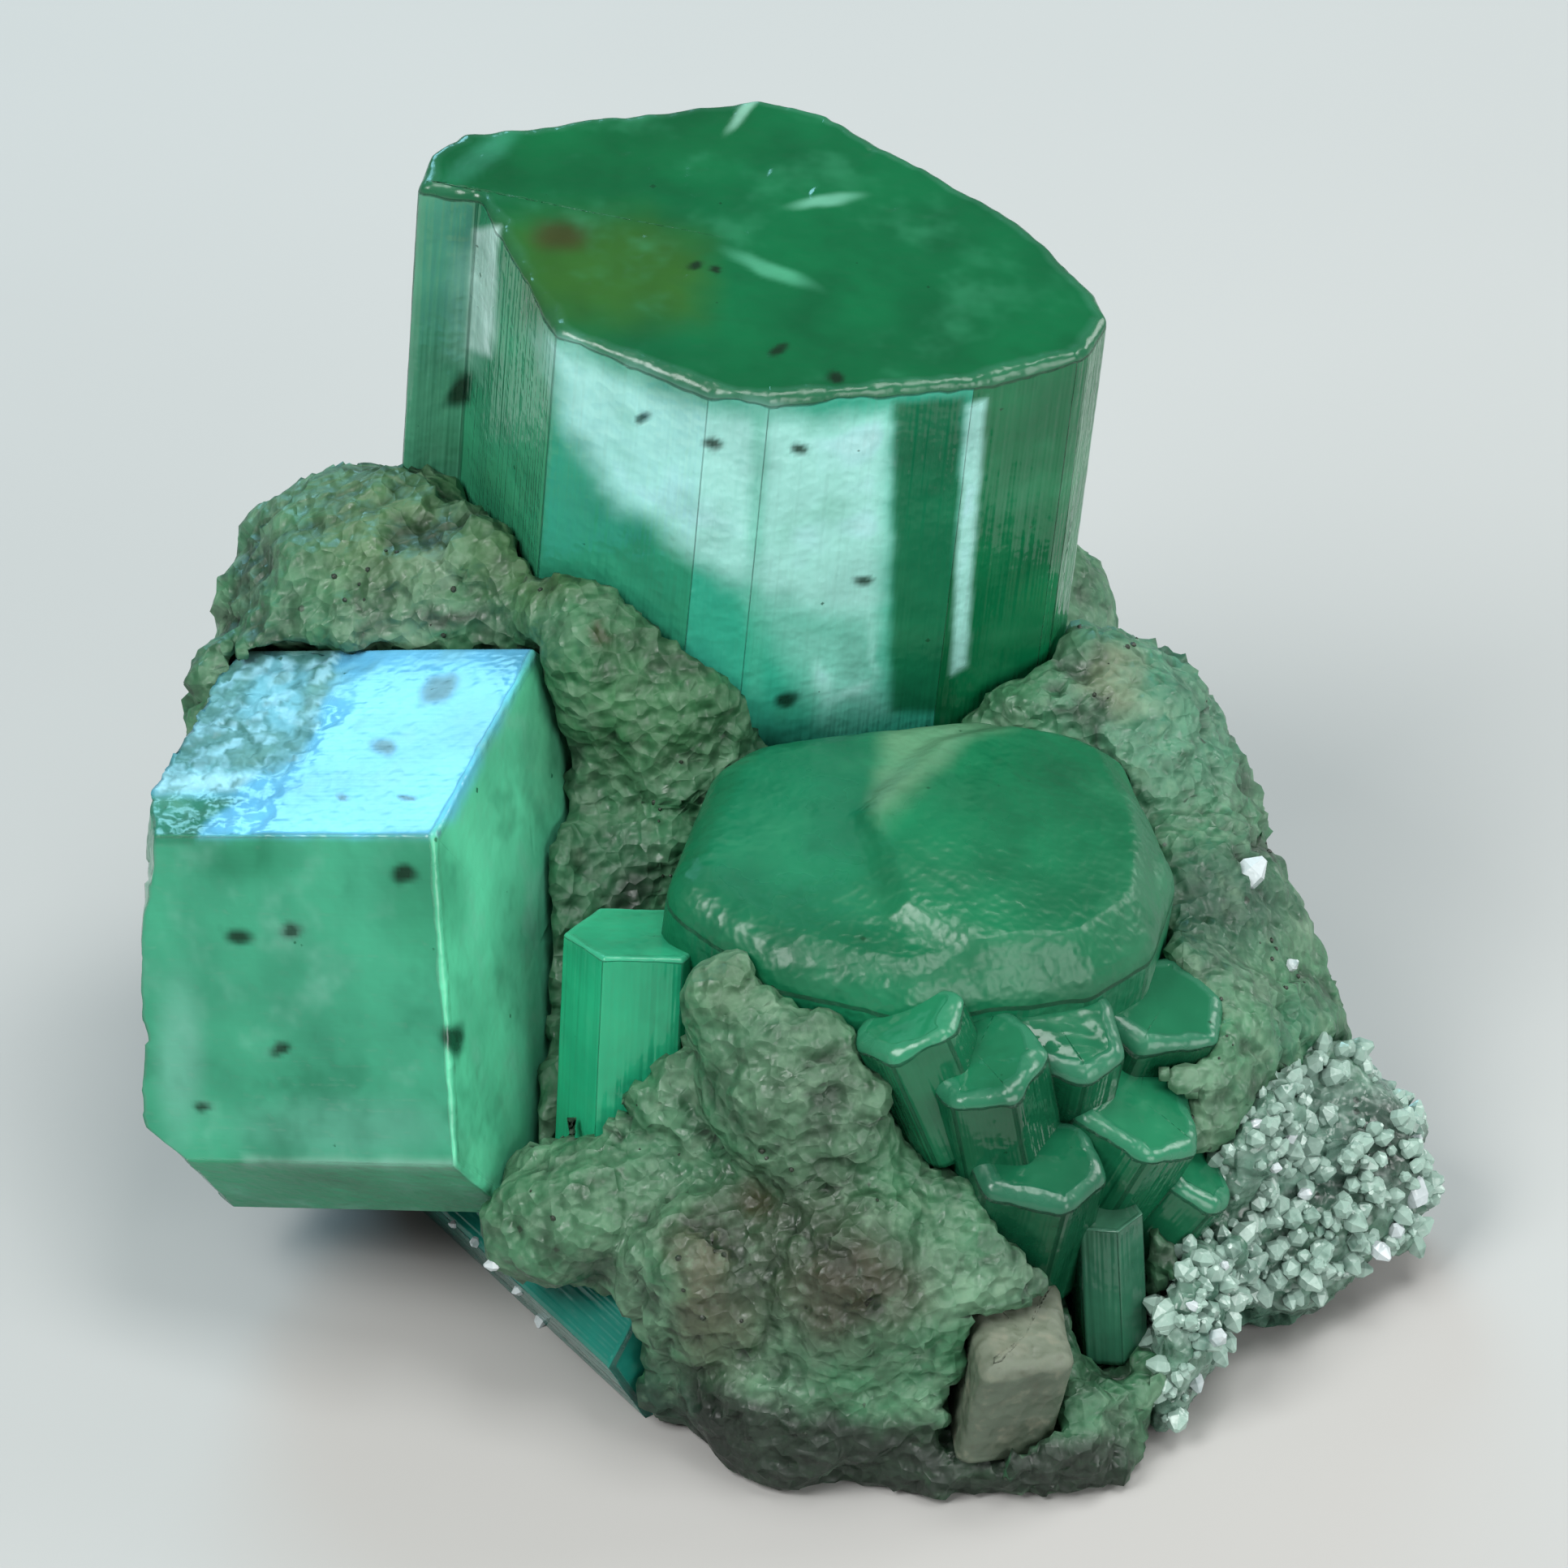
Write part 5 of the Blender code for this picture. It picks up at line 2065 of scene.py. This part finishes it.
        block = PrismCrystal(
            name="calcite_block", seat=(6.3, -14.4, 4.0), lean=14.0, nod=40.0, length=3.4,
            sides=((8.0, 1.3), (-70.0, 1.1), (-172.0, 1.3), (110.0, 2.0)),
            colour=linear(76, 90, 74), top_colour=linear(94, 104, 88), fillet=0.6,
            wear=0.5, edge_rings=7, spacing=0.1, rings=32, cap_rings=14, seed=71, line_depth=0.03,
            rim_highlight_share=0.0,
        )
        pink = StoneFinish(
            "Pink calcite", light=linear(128, 128, 110), dark=linear(68, 72, 55),
            fleck=linear(99, 81, 63), clouding=0.4, grain_height=0.08,
        ).material(self.effects)
        self.finish_piece("calcite_block_finish", block.build(), pink,
                          "calcite_block")
        druse = RockPiece(
            name="quartz_druse", node="quartz_druse", colour=linear(79, 117, 97),
            pale=linear(123, 155, 141), hollow_shade_colour=linear(13, 35, 26), voxel=0.2, facet=0.2,
            facet_size=0.7, seed=19, patches=(
                Spot(linear(26, 41, 33), 0.85, (1690, 1420), (74, 84)),
                Spot(linear(104, 141, 126), 0.7, (1590, 1420), (90, 76)),
                Spot(linear(38, 88, 68), 0.7, (1520, 1600), (80, 110)),
            ),
        )
        grey = StoneFinish(
            "Druse", light=linear(152, 177, 166), dark=linear(30, 63, 48),
            fleck=linear(24, 35, 28), roughness=0.2, clouding=0.7,
        ).material(self.effects)
        self.finish_piece("quartz_druse_finish", druse.build(), grey, "quartz_druse")

    def build_grains(self) -> None:
        """Make the druse grains, the dark specks and the bright beads."""
        grains = Grains()
        quartz = GrainFinish(
            "Quartz grains", light=linear(146, 174, 162), dark=linear(66, 104, 90),
            roughness=0.12,
        ).material(self.effects)
        # Near-white finish of the beads, standing in part for glints.
        clear = GrainFinish(
            "Bright quartz", light=linear(225, 238, 240), dark=linear(130, 170, 165),
            roughness=0.05, transmission=0.3,
        ).material(self.effects)
        dark = GrainFinish(
            "Dark specks", light=linear(30, 44, 30), dark=linear(12, 20, 12), roughness=0.4,
        ).material(self.effects)
        point = grain_mesh("quartz_grain", 6, 0.45, 0.95)
        blunt = grain_mesh("blunt_grain", 7, 0.12, 0.4)
        druse = self.pieces["quartz_druse_finish"].data.copy()
        normals = mesh_normals(druse)
        spots = mesh_points(druse)
        share = smooth_step(-0.75, 0.1, LatticeNoise(5).soft(spots, 2.0))
        write_values(druse, "scatter", share * smooth_step(0.4, 1.2, spots[:, 2])
                     * smooth_step(-0.4, 0.1, normals[:, 2]))
        self.tie(grains.make(
            "druse_grains", druse, GrainTree.SCATTERED,
            GrainLayout(density=7.0e6, smallest=0.16, largest=0.62, tilt=0.8, seed=3), point,
            quartz,
        ), None)
        rock = self.pieces["calcite_matrix_finish"].data.copy()
        spots = mesh_points(rock)
        share = smooth_step(0.15, 0.6, LatticeNoise(9).soft(spots, 2.4))
        write_values(rock, "scatter", share * smooth_step(0.5, 1.5, spots[:, 2]))
        self.tie(grains.make(
            "matrix_specks", rock, GrainTree.SCATTERED,
            GrainLayout(density=0.8e6, smallest=0.06, largest=0.19, tilt=0.9, seed=8), blunt, dark,
        ), None)
        everything = list(self.pieces.values())
        self.tie(grains.make(
            "druse_beads", find_on(everything, GLINT_BEADS, 0.2), GrainTree.PLACED,
            GrainLayout(tilt=0.7, seed=6), point, clear,
        ), None)


def main() -> None:
    """Build the studio and the specimen."""
    VIEW.make_camera()
    Studio().build()
    scene = bpy.context.scene
    scene.view_settings.view_transform = "Standard"
    scene.cycles.max_bounces = 3
    scene.cycles.diffuse_bounces = 1
    scene.cycles.glossy_bounces = 1
    scene.cycles.transmission_bounces = 3
    scene.cycles.caustics_reflective = False
    scene.cycles.caustics_refractive = False
    scene.cycles.use_light_tree = False
    specimen = Specimen()
    specimen.build_crystals()
    specimen.build_rock()
    specimen.build_grains()


if __name__ == "__main__":
    main()
